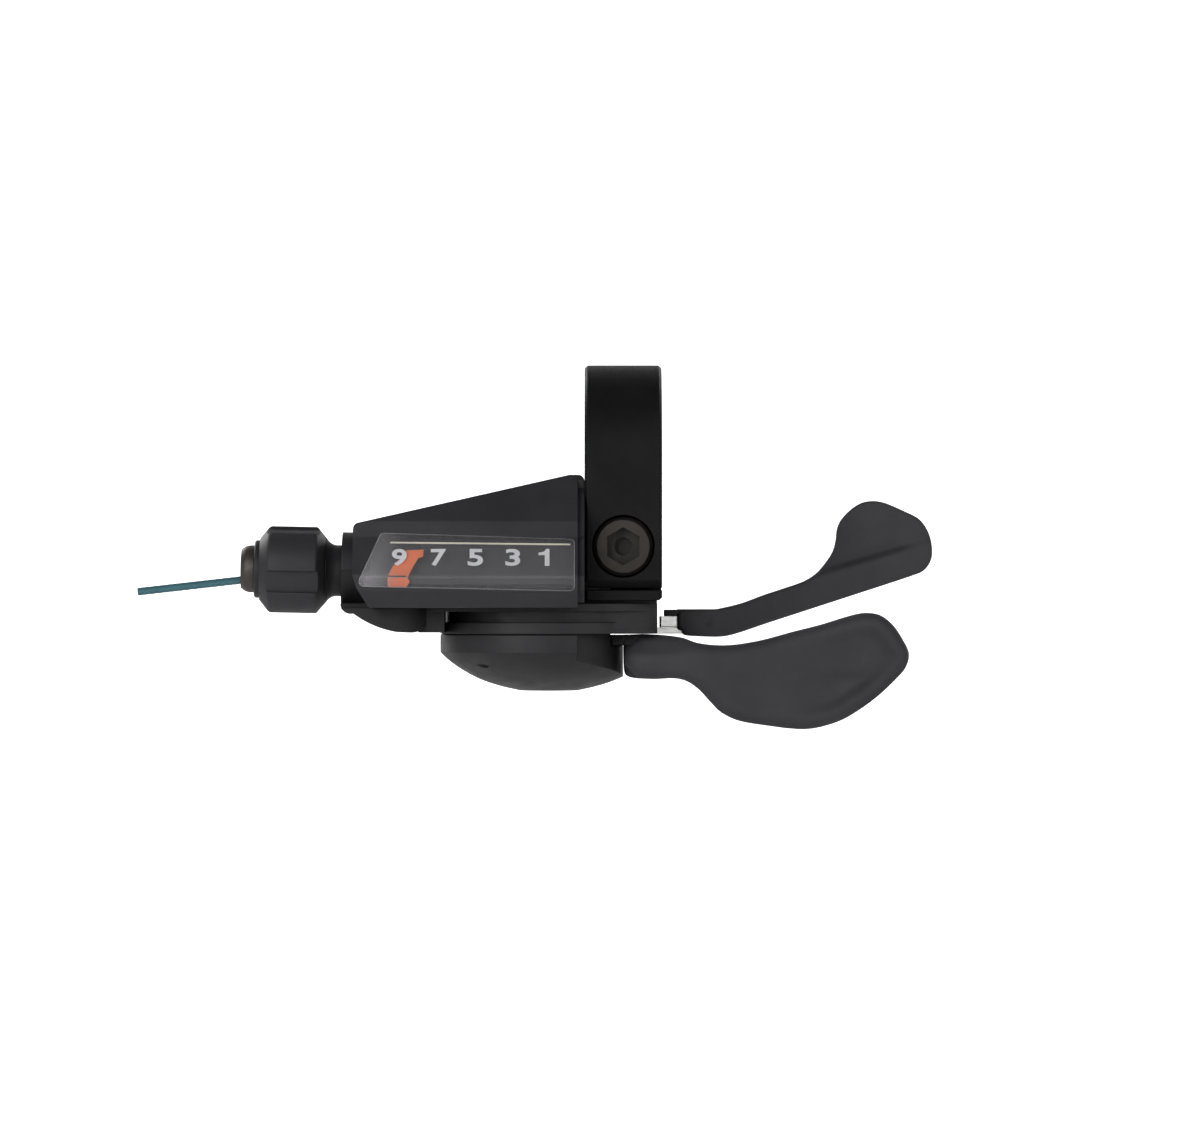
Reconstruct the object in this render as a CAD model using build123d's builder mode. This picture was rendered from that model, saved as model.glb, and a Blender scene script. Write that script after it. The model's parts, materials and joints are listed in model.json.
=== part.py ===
from build123d import *
from math import asin, cos, degrees, radians, sin
import os

os.makedirs("parts", exist_ok=True)

# Frame: the origin is the centre of the handlebar bore, +X runs along the handlebar towards the
# levers, -Y faces the rider and +Z is up. Everything is in millimetres.

BASE = (Align.CENTER, Align.CENTER, Align.MIN)

# Handlebar band
BAR_R = 11.1
BAND_R = 13.9
BAND_WIDTH = 11.8
BAND_FOOT_Z = -22.2
BAND_SLOT_TOP = -20.3
BAND_SLOT_FLOOR = -20.7
EAR_GAP_FRONT = -2.4
EAR_GAP_BACK = -0.8
BOLT_Z = -14.0
BOLT_HEAD_R = 4.5
BOLT_HEAD_FRONT = -12.9
BOLT_SEAT = -9.4
BOLT_R = 2.48
FOOT_SCREW_X = 1.4
FOOT_SCREW_Y = (-7.5, 8.0)

# Vertical axis that the spool and both levers share
AXIS_X = -11.4
AXLE_R = 3.0
HUB_R = 4.2
HUB_FLAT = 3.5
CLEAR = 0.05

# Gear steps: eight clicks, 20 mm of cable on an 8 mm groove
CLICKS = 8
GROOVE_R = 8.0
SWEEP = degrees(20.0 / GROOVE_R)
PITCH = SWEEP / CLICKS
WIRE_R = 0.6
WIRE_Y = -GROOVE_R
WIRE_Z = -18.65
LINK_R = 9.0
LINK_Z = -21.25

# Levels along the axis, top to bottom
ROOF_TOP = -15.4
ROOF_BOTTOM = -16.8
SPOOL_TOP = -17.1
SPOOL_BOTTOM = -22.3
FLOOR_TOP = -22.7
FLOOR_BOTTOM = -23.9
HOLD_TOP = -24.4
HOLD_BOTTOM = -26.0
RELEASE_TOP = -26.5
RELEASE_BOTTOM = -27.4
SKIRT_BOTTOM = -27.3
COVER_TOP = SKIRT_BOTTOM
LEVER_TOP = -27.9
LEVER_BOTTOM = -29.1
ARM_TOP = -27.45
WIND_TOP = -29.4
WIND_BOTTOM = -30.9
HUB_BOTTOM = -31.0
AXLE_BOTTOM = -34.9

# Ratchets and pawls
HOLD_R = 10.0
HOLD_ROOT = 8.6
HOLD_TIP = 10.25
HOLD_ARM = 8.6
HOLD_ANGLE = 210.0
WIND_R = 8.0
WIND_ROOT = 6.7
WIND_TIP = 8.2
WIND_ARM = 7.4
WIND_ANGLE = 182.0
PAWL_PIN_R = 1.0
RELEASE_EAR = 250.0

# Housing
SKIRT_R = 15.9
LEDGE_R = 16.7
POCKET_R = 14.9
WALL = 1.2
HOUSING_RIGHT = -5.9
HOUSING_LEFT = -40.9
HOUSING_PROFILE = [
    (-11.9, -3.1),
    (-18.0, -10.2),
    (-18.7, -12.6),
    (-22.6, -18.35),
    (-22.3, -20.8),
    (-20.2, -23.3),
    (-16.2, -23.3),
    (-16.2, FLOOR_TOP),
    (13.5, FLOOR_TOP),
    (13.5, -13.9),
]
HOUSING_FRONT = [
    (HOUSING_LEFT, -10.6),
    (-8.2, -3.1),
    (HOUSING_RIGHT, -3.1),
    (HOUSING_RIGHT, -23.4),
    (-38.4, -23.4),
    (-40.3, -20.2),
    (HOUSING_LEFT, -18.2),
]
HOUSING_PLAN = [
    (HOUSING_LEFT, -25.0),
    (HOUSING_RIGHT, -25.0),
    (HOUSING_RIGHT, 13.5),
    (-22.0, 13.5),
    (-36.0, -1.0),
    (HOUSING_LEFT, -1.0),
]
WINDOW_FRONT = [(-36.7, -11.95), (-7.35, -12.9), (-7.35, -20.8), (-40.3, -20.1)]
HOUSING_SCREWS = [(-31.5, -2.6), (-22.0, 8.0)]

# Cable adjuster, tilted a little upwards towards its open end
BOSS_FACE = (-42.9, WIRE_Y, -17.7)
ADJUSTER_TILT = 1.2
THREAD_R = 3.0
KNOB_R = 6.6
KNOB_LOBES = 4
KNOB_START = -17.0
BARREL_BORE = 2.5
ADJUSTER = Plane(
    origin=BOSS_FACE,
    x_dir=(0, -1, 0),
    z_dir=(-cos(radians(ADJUSTER_TILT)), 0, sin(radians(ADJUSTER_TILT))),
)
CABLE_SLOPE = 6.5


def polar(radius, angle):
    """Plan point at a radius and an angle about the mechanism axis."""
    return (AXIS_X + radius * cos(radians(angle)), radius * sin(radians(angle)))


def ratchet_frame(angle, level):
    """Plane on the mechanism axis whose local x points out along the given angle."""
    return Plane(origin=(AXIS_X, 0, level), x_dir=(cos(radians(angle)), sin(radians(angle)), 0))


def gap_points(outer, root, gap):
    """Sawtooth gap in a ratchet rim, centred on an angle: a long ramp and a steep face."""
    return [
        polar(outer + 0.6, gap - 0.52 * PITCH),
        polar(root, gap - 0.14 * PITCH),
        polar(root, gap + 0.18 * PITCH),
        polar(outer + 0.6, gap + 0.24 * PITCH),
    ]


# ---------------------------------------------------------------- handlebar band and its screws

with BuildPart() as clamp_band:
    with BuildSketch(Plane.YZ.offset(-BAND_WIDTH / 2)):
        Circle(BAND_R)
        Polygon(
            (-BAND_R, 0),
            (-BAND_R, BAND_FOOT_Z),
            (12.4, BAND_FOOT_Z),
            (BAND_R, -20.0),
            (BAND_R, 0),
            align=None,
        )
    extrude(amount=BAND_WIDTH)
    chamfer(clamp_band.faces().filter_by(Axis.X).edges(), 0.45)
    with BuildSketch(Plane.YZ.offset(-BAND_WIDTH)):
        Circle(BAR_R)
        with Locations(((EAR_GAP_FRONT + EAR_GAP_BACK) / 2, (BAND_SLOT_FLOOR - 9.0) / 2)):
            Rectangle(EAR_GAP_BACK - EAR_GAP_FRONT, -9.0 - BAND_SLOT_FLOOR)
        with Locations((-8.5, (BAND_SLOT_TOP + BAND_SLOT_FLOOR) / 2)):
            Rectangle(14.0, BAND_SLOT_TOP - BAND_SLOT_FLOOR)
        Polygon((-14.0, -19.1), (-13.9, -19.1), (-12.9, -20.4), (-14.0, -20.4), align=None)
    extrude(amount=2 * BAND_WIDTH, mode=Mode.SUBTRACT)
    # Scallop that lets the spool turn beside the band
    with Locations((AXIS_X, 0, -22.5)):
        Cylinder(10.0, ROOF_BOTTOM + 22.5, align=BASE, mode=Mode.SUBTRACT)
    # Counterbore, clearance hole in the ear and thread behind the slot
    with Locations(Plane(origin=(0, BOLT_SEAT, BOLT_Z), z_dir=(0, -1, 0))):
        Cylinder(4.77, 6.0, align=BASE, mode=Mode.SUBTRACT)
    with Locations(Plane(origin=(0, EAR_GAP_FRONT, BOLT_Z), z_dir=(0, -1, 0))):
        Cylinder(2.65, 8.0, align=BASE, mode=Mode.SUBTRACT)
    with Locations(Plane(origin=(0, 9.0, BOLT_Z), z_dir=(0, -1, 0))):
        Cylinder(2.5, 10.0, align=BASE, mode=Mode.SUBTRACT)
    with Locations([(FOOT_SCREW_X, y, -23.0) for y in FOOT_SCREW_Y]):
        Cylinder(1.5, 2.3, align=BASE, mode=Mode.SUBTRACT)

with BuildPart() as clamp_bolt:
    with BuildSketch(Plane.XY) as bolt_half:
        with BuildLine():
            Polyline(
                (0, 8.8),
                (BOLT_R - 0.5, 8.8),
                (BOLT_R, 8.2),
                (BOLT_R, BOLT_SEAT),
                (BOLT_HEAD_R, BOLT_SEAT),
                (BOLT_HEAD_R, BOLT_HEAD_FRONT + 0.5),
                (BOLT_HEAD_R - 0.5, BOLT_HEAD_FRONT),
                (0, BOLT_HEAD_FRONT),
                close=True,
            )
        make_face()
    revolve(axis=Axis.Y)
    with BuildSketch(Plane(origin=(0, BOLT_HEAD_FRONT, 0), x_dir=(0, 0, 1), z_dir=(0, 1, 0))):
        RegularPolygon(2.5, 6, major_radius=False)
    extrude(amount=2.4, mode=Mode.SUBTRACT)
    with Locations(Plane(origin=(0, BOLT_HEAD_FRONT, 0), z_dir=(0, 1, 0))):
        Cylinder(1.35, 4.2, align=BASE, mode=Mode.SUBTRACT)
clamp_bolt.part.move(Location((0, 0, BOLT_Z)))

with BuildPart() as foot_screws:
    with Locations([(FOOT_SCREW_X, y, -26.2) for y in FOOT_SCREW_Y]):
        Cylinder(2.6, 1.8, align=BASE)
        Cylinder(1.46, 5.4, align=BASE)
    with BuildSketch(Plane.XY.offset(-26.2)):
        with Locations([(FOOT_SCREW_X, y) for y in FOOT_SCREW_Y]):
            RegularPolygon(1.25, 6, major_radius=False)
    extrude(amount=1.1, mode=Mode.SUBTRACT)

# ---------------------------------------------------------------- bracket, the main body

with BuildPart() as bracket:
    # Floor under the spool
    with BuildSketch(Plane.XY.offset(FLOOR_BOTTOM)):
        Polygon(
            (HOUSING_LEFT, -16.1),
            (-8.0, -16.1),
            (3.6, -12.0),
            (5.2, -10.4),
            (5.2, 13.5),
            (-22.0, 13.5),
            (-36.0, -1.0),
            (HOUSING_LEFT, -1.0),
            align=None,
        )
        with Locations((AXIS_X, 0)):
            Circle(SKIRT_R)
    extrude(amount=FLOOR_TOP - FLOOR_BOTTOM)
    # Skirt, ledge and the block under the band
    with BuildSketch(Plane.XY.offset(SKIRT_BOTTOM)):
        with Locations((AXIS_X, 0)):
            Circle(SKIRT_R)
        Polygon(
            (AXIS_X, -15.6),
            (3.6, -12.0),
            (5.2, -10.4),
            (5.2, 13.5),
            (AXIS_X, 13.5),
            align=None,
        )
    extrude(amount=FLOOR_BOTTOM - SKIRT_BOTTOM)
    with Locations((AXIS_X, 0, SKIRT_BOTTOM)):
        Cylinder(LEDGE_R, 1.7, align=BASE)
    # Cable end of the body: round-bottomed swelling below the housing
    with BuildSketch(Plane.XZ.offset(1.0)):
        with BuildLine():
            Polyline((-34.3, -27.0), (-32.2, -27.1))
            ThreePointArc((-32.2, -27.1), (-30.2, -26.3), (-29.4, -24.4))
            Polyline((-29.4, -24.4), (-29.4, FLOOR_TOP), (-42.9, FLOOR_TOP))
            ThreePointArc((-42.9, FLOOR_TOP), (-42.4, -23.8), (-40.9, -24.2))
            ThreePointArc((-40.9, -24.2), (-38.2, -25.8), (-34.3, -27.0))
        make_face()
    extrude(amount=16.0)
    with BuildSketch(Plane.XY.offset(-28.0)):
        Polygon((-29.3, -9.0), (-29.3, -17.1), (-38.0, -17.1), align=None)
        with Locations((-37.4, -9.0)):
            Circle(8.0, mode=Mode.SUBTRACT)
    extrude(amount=4.6, mode=Mode.SUBTRACT)
    with Locations((-36.5, -17.0, FLOOR_TOP - 0.65)):
        Box(15.0, 1.8, 1.0, align=BASE, mode=Mode.SUBTRACT)
    # Web between the swelling and the skirt
    with Locations((-29.2, -7.5, -27.1)):
        Box(4.0, 9.0, FLOOR_TOP + 27.1, align=BASE)
    # Tower behind the spool and the roof that carries the top of the axle
    with BuildSketch(Plane.XY.offset(FLOOR_TOP)):
        with BuildLine():
            Polyline(polar(10.2, 125), polar(12.2, 125))
            ThreePointArc(polar(12.2, 125), polar(12.2, 98), polar(12.2, 72))
            Polyline(polar(12.2, 72), polar(10.2, 72))
            ThreePointArc(polar(10.2, 72), polar(10.2, 98), polar(10.2, 125))
        make_face()
    extrude(amount=ROOF_TOP - FLOOR_TOP)
    with BuildSketch(Plane.XY.offset(ROOF_BOTTOM)):
        with Locations((AXIS_X, 0)):
            Circle(5.2)
        Polygon(
            polar(5.2, 175),
            polar(12.2, 125),
            polar(12.2, 98),
            polar(12.2, 72),
            polar(5.2, 42),
            align=None,
        )
    extrude(amount=ROOF_TOP - ROOF_BOTTOM)
    # Cable boss: full ring for the thread, lower half of the collar around it
    with Locations(ADJUSTER):
        Cylinder(5.9, 4.3, align=(Align.CENTER, Align.CENTER, Align.MAX))
    with Locations((-40.5, WIRE_Y, -17.7)):
        Box(8.0, 14.0, 8.0, align=BASE, mode=Mode.SUBTRACT)
    with Locations(ADJUSTER):
        Cylinder(4.7, 4.3, align=(Align.CENTER, Align.CENTER, Align.MAX))
        Cylinder(THREAD_R + CLEAR, 20.0, mode=Mode.SUBTRACT)
    # Pad that meets the foot of the band
    with Locations((-0.35, 0, FLOOR_TOP)):
        Box(11.0, 23.0, BAND_FOOT_Z - FLOOR_TOP, align=BASE)
    with Locations((AXIS_X, 0, FLOOR_TOP)):
        Cylinder(10.0, 3.0, align=BASE, mode=Mode.SUBTRACT)
    # Rail that the needle carriage slides along
    with Locations((-24.0, -15.2, FLOOR_TOP)):
        Box(30.0, 1.6, 1.05, align=BASE)
    # Ratchet pocket, and the wider room for the two lever plates
    with BuildSketch(Plane.XY.offset(SKIRT_BOTTOM)):
        with Locations((AXIS_X, 0)):
            Circle(POCKET_R)
        with Locations((0, 0)):
            Rectangle(7.6, 40.0, align=(Align.MIN, Align.CENTER), mode=Mode.SUBTRACT)
        with Locations((-3.0, 0)):
            Rectangle(20.0, 40.0, align=(Align.MIN, Align.CENTER), mode=Mode.SUBTRACT)
        with Locations((AXIS_X, 0)):
            Circle(10.6)
    extrude(amount=FLOOR_BOTTOM - SKIRT_BOTTOM, mode=Mode.SUBTRACT)
    with BuildSketch(Plane.XY.offset(SKIRT_BOTTOM)):
        Polygon((-6.0, -11.4), (3.8, -9.4), (3.8, 11.8), (-6.0, 11.8), align=None)
        Polygon((3.0, -2.2), (6.0, -2.2), (6.0, 12.2), (3.0, 12.2), align=None)
    extrude(amount=RELEASE_TOP + 0.3 - SKIRT_BOTTOM, mode=Mode.SUBTRACT)
    # Holes
    with Locations((AXIS_X, 0, ROOF_BOTTOM)):
        Cylinder(AXLE_R + 0.02, 2.0, align=BASE, mode=Mode.SUBTRACT)
    with Locations((AXIS_X, 0, FLOOR_BOTTOM)):
        Cylinder(HUB_R + CLEAR, 1.2, align=BASE, mode=Mode.SUBTRACT)
    with Locations([(FOOT_SCREW_X, y, -26.5) for y in FOOT_SCREW_Y]):
        Cylinder(1.6, 6.0, align=BASE, mode=Mode.SUBTRACT)
        Cylinder(2.75, 2.1, align=BASE, mode=Mode.SUBTRACT)
    with Locations([(x, y, -29.0) for x, y in HOUSING_SCREWS]):
        Cylinder(1.0, 7.0, align=BASE, mode=Mode.SUBTRACT)
        Cylinder(1.9, 5.0, align=BASE, mode=Mode.SUBTRACT)
    # Post for the release spring
    with Locations((*polar(13.9, RELEASE_EAR), RELEASE_BOTTOM)):
        Cylinder(0.6, FLOOR_BOTTOM - RELEASE_BOTTOM, align=BASE)
    # Bore for the holding pawl's pin
    with BuildSketch(ratchet_frame(HOLD_ANGLE, FLOOR_BOTTOM)):
        with Locations((HOLD_TIP, -HOLD_ARM)):
            Circle(PAWL_PIN_R)
    extrude(amount=0.9, mode=Mode.SUBTRACT)

# ---------------------------------------------------------------- display housing and its parts

with BuildPart() as housing_cavity:
    with BuildSketch(Plane.YZ.offset(HOUSING_LEFT + WALL)):
        Polygon(*HOUSING_PROFILE, align=None)
        offset(amount=-WALL, kind=Kind.INTERSECTION, mode=Mode.REPLACE)
        Polygon(
            (-19.0, -22.1),
            (-16.2, -22.1),
            (-16.2, -23.0),
            (12.3, -23.0),
            (12.3, -21.0),
            (-19.0, -21.0),
            align=None,
        )
    extrude(amount=HOUSING_RIGHT - HOUSING_LEFT - 2 * WALL)
    with BuildSketch(Plane.XZ.offset(-20.0)):
        Polygon(*HOUSING_FRONT, align=None)
        offset(amount=-WALL, kind=Kind.INTERSECTION, mode=Mode.REPLACE)
        Polygon((-39.0, -24.0), (-7.3, -24.0), (-7.3, -20.0), (-39.6, -20.0), align=None)
    extrude(amount=50.0, mode=Mode.INTERSECT)
    with BuildSketch(Plane.XY.offset(-24.0)):
        Polygon(*HOUSING_PLAN, align=None)
        offset(amount=-WALL, kind=Kind.INTERSECTION, mode=Mode.REPLACE)
    extrude(amount=24.0, mode=Mode.INTERSECT)
    with BuildSketch(Plane.YZ.offset(HOUSING_LEFT)):
        Circle(BAR_R + 1.0 + WALL)
    extrude(amount=40.0, mode=Mode.SUBTRACT)

with BuildPart() as housing_body:
    with BuildSketch(Plane.YZ.offset(HOUSING_LEFT)) as body_profile:
        Polygon(*HOUSING_PROFILE, align=None)
        fillet([v for v in body_profile.vertices() if v.X < -17.5], 0.45)
    extrude(amount=HOUSING_RIGHT - HOUSING_LEFT)
    with BuildSketch(Plane.XZ.offset(-20.0)) as body_front:
        Polygon(*HOUSING_FRONT, align=None)
        fillet([v for v in body_front.vertices() if v.X < -35.0 or v.Y > -5.0], 1.0)
    extrude(amount=50.0, mode=Mode.INTERSECT)
    with BuildSketch(Plane.XY.offset(-24.0)):
        Polygon(*HOUSING_PLAN, align=None)
    extrude(amount=24.0, mode=Mode.INTERSECT)

with BuildPart() as display_window:
    add(housing_body.part)
    with BuildSketch(Plane.YZ.offset(HOUSING_LEFT)):
        Polygon(*HOUSING_PROFILE, align=None)
        offset(amount=-WALL, kind=Kind.INTERSECTION, mode=Mode.REPLACE)
    extrude(amount=40.0, mode=Mode.SUBTRACT)
    with BuildSketch(Plane.XZ.offset(15.0)) as window_face:
        Polygon(*WINDOW_FRONT, align=None)
        fillet(window_face.vertices(), 0.8)
    extrude(amount=12.0, mode=Mode.INTERSECT)

with BuildPart() as display_housing:
    add(housing_body.part)
    # Narrow step back from the front face beside the band
    with BuildSketch(Plane.YZ.offset(HOUSING_RIGHT - 1.0)):
        Polygon(*HOUSING_PROFILE, align=None)
        offset(amount=-0.8, kind=Kind.INTERSECTION, mode=Mode.SUBTRACT)
        with Locations((-12.6, -13.0)):
            Rectangle(30.0, 30.0, align=(Align.MIN, Align.CENTER), mode=Mode.SUBTRACT)
    extrude(amount=2.0, mode=Mode.SUBTRACT)
    # Room for the handlebar
    with BuildSketch(Plane.YZ.offset(HOUSING_LEFT)):
        Circle(BAR_R + 1.0)
    extrude(amount=40.0, mode=Mode.SUBTRACT)
    add(housing_cavity.part, mode=Mode.SUBTRACT)
    # Upper half of the collar around the cable boss
    with Locations(ADJUSTER):
        Cylinder(5.9, 2.6, align=(Align.CENTER, Align.CENTER, Align.MAX))
    with Locations((-41.0, WIRE_Y, -17.68)):
        Box(5.5, 13.0, 12.0, align=(Align.CENTER, Align.CENTER, Align.MAX), mode=Mode.SUBTRACT)
    with Locations(ADJUSTER):
        Cylinder(4.72, 12.0, mode=Mode.SUBTRACT)
    # Doorway in the end wall for the spool, the roof and the axle head
    with Locations((AXIS_X, 0, FLOOR_TOP - 1.0)):
        Cylinder(10.0, ROOF_BOTTOM - FLOOR_TOP + 1.0, align=BASE, mode=Mode.SUBTRACT)
    with Locations((AXIS_X, 0, ROOF_BOTTOM - 1.0)):
        Cylinder(5.5, ROOF_TOP + 1.2 - ROOF_BOTTOM + 1.0, align=BASE, mode=Mode.SUBTRACT)
    # Screw bosses
    with Locations([(x, y, FLOOR_TOP) for x, y in HOUSING_SCREWS]):
        Cylinder(1.9, 10.2, align=BASE)
        Cylinder(0.9, 5.0, align=BASE, mode=Mode.SUBTRACT)
    add(display_window.part, mode=Mode.SUBTRACT)

with BuildPart() as housing_screws:
    with Locations([(x, y, -25.1) for x, y in HOUSING_SCREWS]):
        Cylinder(1.75, 1.1, align=BASE)
        Cylinder(0.88, 6.6, align=BASE)
        Box(2.2, 0.5, 0.5, align=BASE, mode=Mode.SUBTRACT)
        Box(0.5, 2.2, 0.5, align=BASE, mode=Mode.SUBTRACT)

# Inclined face that carries the printed scale; local y runs up the slope
SCALE_FACE = Plane(origin=(0, -18.7, -12.6), x_dir=(1, 0, 0), z_dir=(0, -0.8276, 0.5613))

with BuildPart() as dial_plate:
    with BuildSketch(SCALE_FACE.offset(-3.7)):
        Polygon((-38.0, 1.5), (-7.4, 1.5), (-7.4, -6.6), (-38.9, -6.6), align=None)
    extrude(amount=0.7)

DIGIT_X = (-33.85, -27.95, -22.35, -16.7, -12.0)
DIGIT_UP = -2.8
STROKE = 0.5
PRINT = 0.1

with BuildPart() as dial_numerals:
    with BuildSketch(SCALE_FACE.offset(-WALL)):
        with BuildLine():
            Polyline((DIGIT_X[1] - 0.8, DIGIT_UP + 1.4), (DIGIT_X[1] + 0.8, DIGIT_UP + 1.4))
            Polyline((DIGIT_X[1] + 0.8, DIGIT_UP + 1.4), (DIGIT_X[1] - 0.3, DIGIT_UP - 1.4))
        trace(line_width=STROKE)
        with BuildLine():
            Polyline((DIGIT_X[4] - 0.5, DIGIT_UP + 1.0), (DIGIT_X[4] + 0.1, DIGIT_UP + 1.4))
            Polyline((DIGIT_X[4] + 0.1, DIGIT_UP + 1.4), (DIGIT_X[4] + 0.1, DIGIT_UP - 1.4))
        trace(line_width=STROKE)
        with BuildLine():
            CenterArc((DIGIT_X[0], DIGIT_UP + 0.6), 0.8, 0, 360)
        trace(line_width=STROKE)
        with BuildLine():
            ThreePointArc(
                (DIGIT_X[0] + 0.8, DIGIT_UP + 0.6),
                (DIGIT_X[0] + 0.5, DIGIT_UP - 0.8),
                (DIGIT_X[0] - 0.5, DIGIT_UP - 1.4),
            )
        trace(line_width=STROKE)
        with BuildLine():
            Polyline((DIGIT_X[2] + 0.7, DIGIT_UP + 1.4), (DIGIT_X[2] - 0.6, DIGIT_UP + 1.4))
            Polyline((DIGIT_X[2] - 0.6, DIGIT_UP + 1.4), (DIGIT_X[2] - 0.7, DIGIT_UP + 0.1))
        trace(line_width=STROKE)
        with BuildLine():
            ThreePointArc(
                (DIGIT_X[2] - 0.7, DIGIT_UP + 0.1),
                (DIGIT_X[2] + 0.8, DIGIT_UP - 0.5),
                (DIGIT_X[2] - 0.8, DIGIT_UP - 1.1),
            )
        trace(line_width=STROKE)
        with BuildLine():
            ThreePointArc(
                (DIGIT_X[3] - 0.75, DIGIT_UP + 1.1),
                (DIGIT_X[3] + 0.65, DIGIT_UP + 0.8),
                (DIGIT_X[3] - 0.2, DIGIT_UP + 0.1),
            )
        trace(line_width=STROKE)
        with BuildLine():
            ThreePointArc(
                (DIGIT_X[3] - 0.2, DIGIT_UP + 0.1),
                (DIGIT_X[3] + 0.8, DIGIT_UP - 0.6),
                (DIGIT_X[3] - 0.8, DIGIT_UP - 1.1),
            )
        trace(line_width=STROKE)
    extrude(amount=-PRINT)

with BuildPart() as dial_line:
    with BuildSketch(SCALE_FACE.offset(-WALL)):
        Polygon((-35.2, -0.05), (-8.0, -0.4), (-8.0, -0.66), (-35.3, -0.31), align=None)
    extrude(amount=-PRINT)

# ---------------------------------------------------------------- needle and its link wire

NEEDLE_DEPTH = 1.6
NEEDLE_THICK = 0.5
CARRIAGE_X = -34.6

with BuildPart() as indicator_needle:
    with BuildSketch(Plane.YZ.offset(HOUSING_LEFT)):
        Polygon(*HOUSING_PROFILE, align=None)
        offset(amount=-NEEDLE_DEPTH, kind=Kind.INTERSECTION, mode=Mode.REPLACE)
        offset(amount=-NEEDLE_THICK, kind=Kind.INTERSECTION, mode=Mode.SUBTRACT)
    extrude(amount=40.0)
    with BuildSketch(Plane.XZ.offset(15.0)):
        Polygon(
            (-32.7, -14.6),
            (-30.2, -14.5),
            (-30.3, -15.6),
            (-31.0, -15.8),
            (-31.7, -17.0),
            (-32.3, -18.2),
            (-32.6, -18.8),
            (-32.2, -19.3),
            (-32.8, -20.3),
            (-35.5, -20.3),
            (-35.6, -18.8),
            (-35.4, -18.1),
            (-34.8, -17.0),
            align=None,
        )
    extrude(amount=10.0, mode=Mode.INTERSECT)
    # Gap between the upper flag and the pointed lower flag
    with Locations((-34.5, -20.0, -18.55)):
        Box(3.4, 6.0, 0.24, mode=Mode.SUBTRACT)
    with Locations((CARRIAGE_X, 0, 0)):
        with Locations((0, -19.8, -20.9)):
            Box(2.6, 1.4, 0.7, align=BASE)
        with Locations((0, -19.2, -21.6)):
            Box(2.6, 0.8, 1.3, align=BASE)
        with Locations((0, -16.8, -21.6)):
            Box(2.6, 5.6, 0.7, align=BASE)
    with BuildSketch(Plane.XY.offset(-21.6)):
        Polygon((-35.9, -14.2), (-33.3, -14.2), (-36.5, -8.7), (-37.5, -8.7), (-37.5, -9.6), align=None)
    extrude(amount=0.7)

with BuildPart() as indicator_wire:
    with BuildLine() as link_path:
        Line((-36.1, -LINK_R, LINK_Z), (AXIS_X, -LINK_R, LINK_Z))
        RadiusArc((AXIS_X, -LINK_R, LINK_Z), (*polar(LINK_R, -50), LINK_Z), -LINK_R)
    with BuildSketch(Plane(origin=(-36.1, -LINK_R, LINK_Z), z_dir=(1, 0, 0))):
        Circle(0.25)
    sweep()

# ---------------------------------------------------------------- axle stack

with BuildPart() as axle:
    with Locations((AXIS_X, 0, AXLE_BOTTOM)):
        Cylinder(AXLE_R, ROOF_TOP - AXLE_BOTTOM, align=BASE)
    with Locations((AXIS_X, 0, ROOF_TOP)):
        Cylinder(HUB_R, 1.0, align=BASE)
    with BuildSketch(Plane.XY.offset(ROOF_TOP + 1.0)):
        with Locations((AXIS_X, 0)):
            RegularPolygon(1.5, 6, major_radius=False)
    extrude(amount=-0.8, mode=Mode.SUBTRACT)
    with Locations((AXIS_X, 0, AXLE_BOTTOM)):
        Cylinder(1.5, 4.4, align=BASE, mode=Mode.SUBTRACT)

with BuildPart() as hub_washer:
    with BuildSketch(Plane.XY.offset(-31.4)):
        with Locations((AXIS_X, 0)):
            Circle(4.4)
            Circle(AXLE_R, mode=Mode.SUBTRACT)
    extrude(amount=0.35)

with BuildPart() as axle_nut:
    with BuildSketch(Plane.XY.offset(-34.3)):
        with Locations((AXIS_X, 0)):
            RegularPolygon(3.8, 6, major_radius=False)
            Circle(AXLE_R, mode=Mode.SUBTRACT)
    extrude(amount=2.9)

# ---------------------------------------------------------------- spool and ratchets

with BuildPart() as spool:
    with BuildSketch(Plane.XZ) as spool_half:
        with BuildLine():
            Polyline(
                (AXIS_X + AXLE_R + CLEAR, HUB_BOTTOM),
                (AXIS_X + HUB_R, HUB_BOTTOM),
                (AXIS_X + HUB_R, SPOOL_BOTTOM),
                (AXIS_X + 9.5, SPOOL_BOTTOM),
                (AXIS_X + 9.5, -21.9),
                (AXIS_X + 8.65, -21.8),
                (AXIS_X + 8.65, -20.7),
                (AXIS_X + 9.5, -20.6),
                (AXIS_X + 9.5, -20.1),
                (AXIS_X + 7.35, -19.3),
                (AXIS_X + 7.35, -18.0),
                (AXIS_X + 8.7, -17.5),
                (AXIS_X + 8.7, SPOOL_TOP),
                (AXIS_X + AXLE_R + CLEAR, SPOOL_TOP),
                close=True,
            )
        make_face()
    revolve(axis=Axis((AXIS_X, 0, 0), (0, 0, 1)))
    # Flats that drive the two ratchets
    with Locations([(AXIS_X, side * (HUB_FLAT + 2.0), HUB_BOTTOM) for side in (-1, 1)]):
        Box(10.0, 4.0, HOLD_TOP - HUB_BOTTOM, align=BASE, mode=Mode.SUBTRACT)
    # Pocket for the cable's end
    with Locations((*polar(7.0, -66), -19.5)):
        Cylinder(1.6, 4.0, align=BASE, mode=Mode.SUBTRACT)

with BuildPart() as cable_head:
    with BuildLine() as head_path:
        RadiusArc((*polar(GROOVE_R, -89), WIRE_Z), (*polar(GROOVE_R, -68), WIRE_Z), -GROOVE_R)
    with BuildSketch(Plane(origin=head_path.line @ 0, z_dir=head_path.line % 0)):
        Circle(WIRE_R)
    sweep()
    with Locations((*polar(7.0, -66), -19.45)):
        Cylinder(1.55, 2.2, align=BASE)

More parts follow.
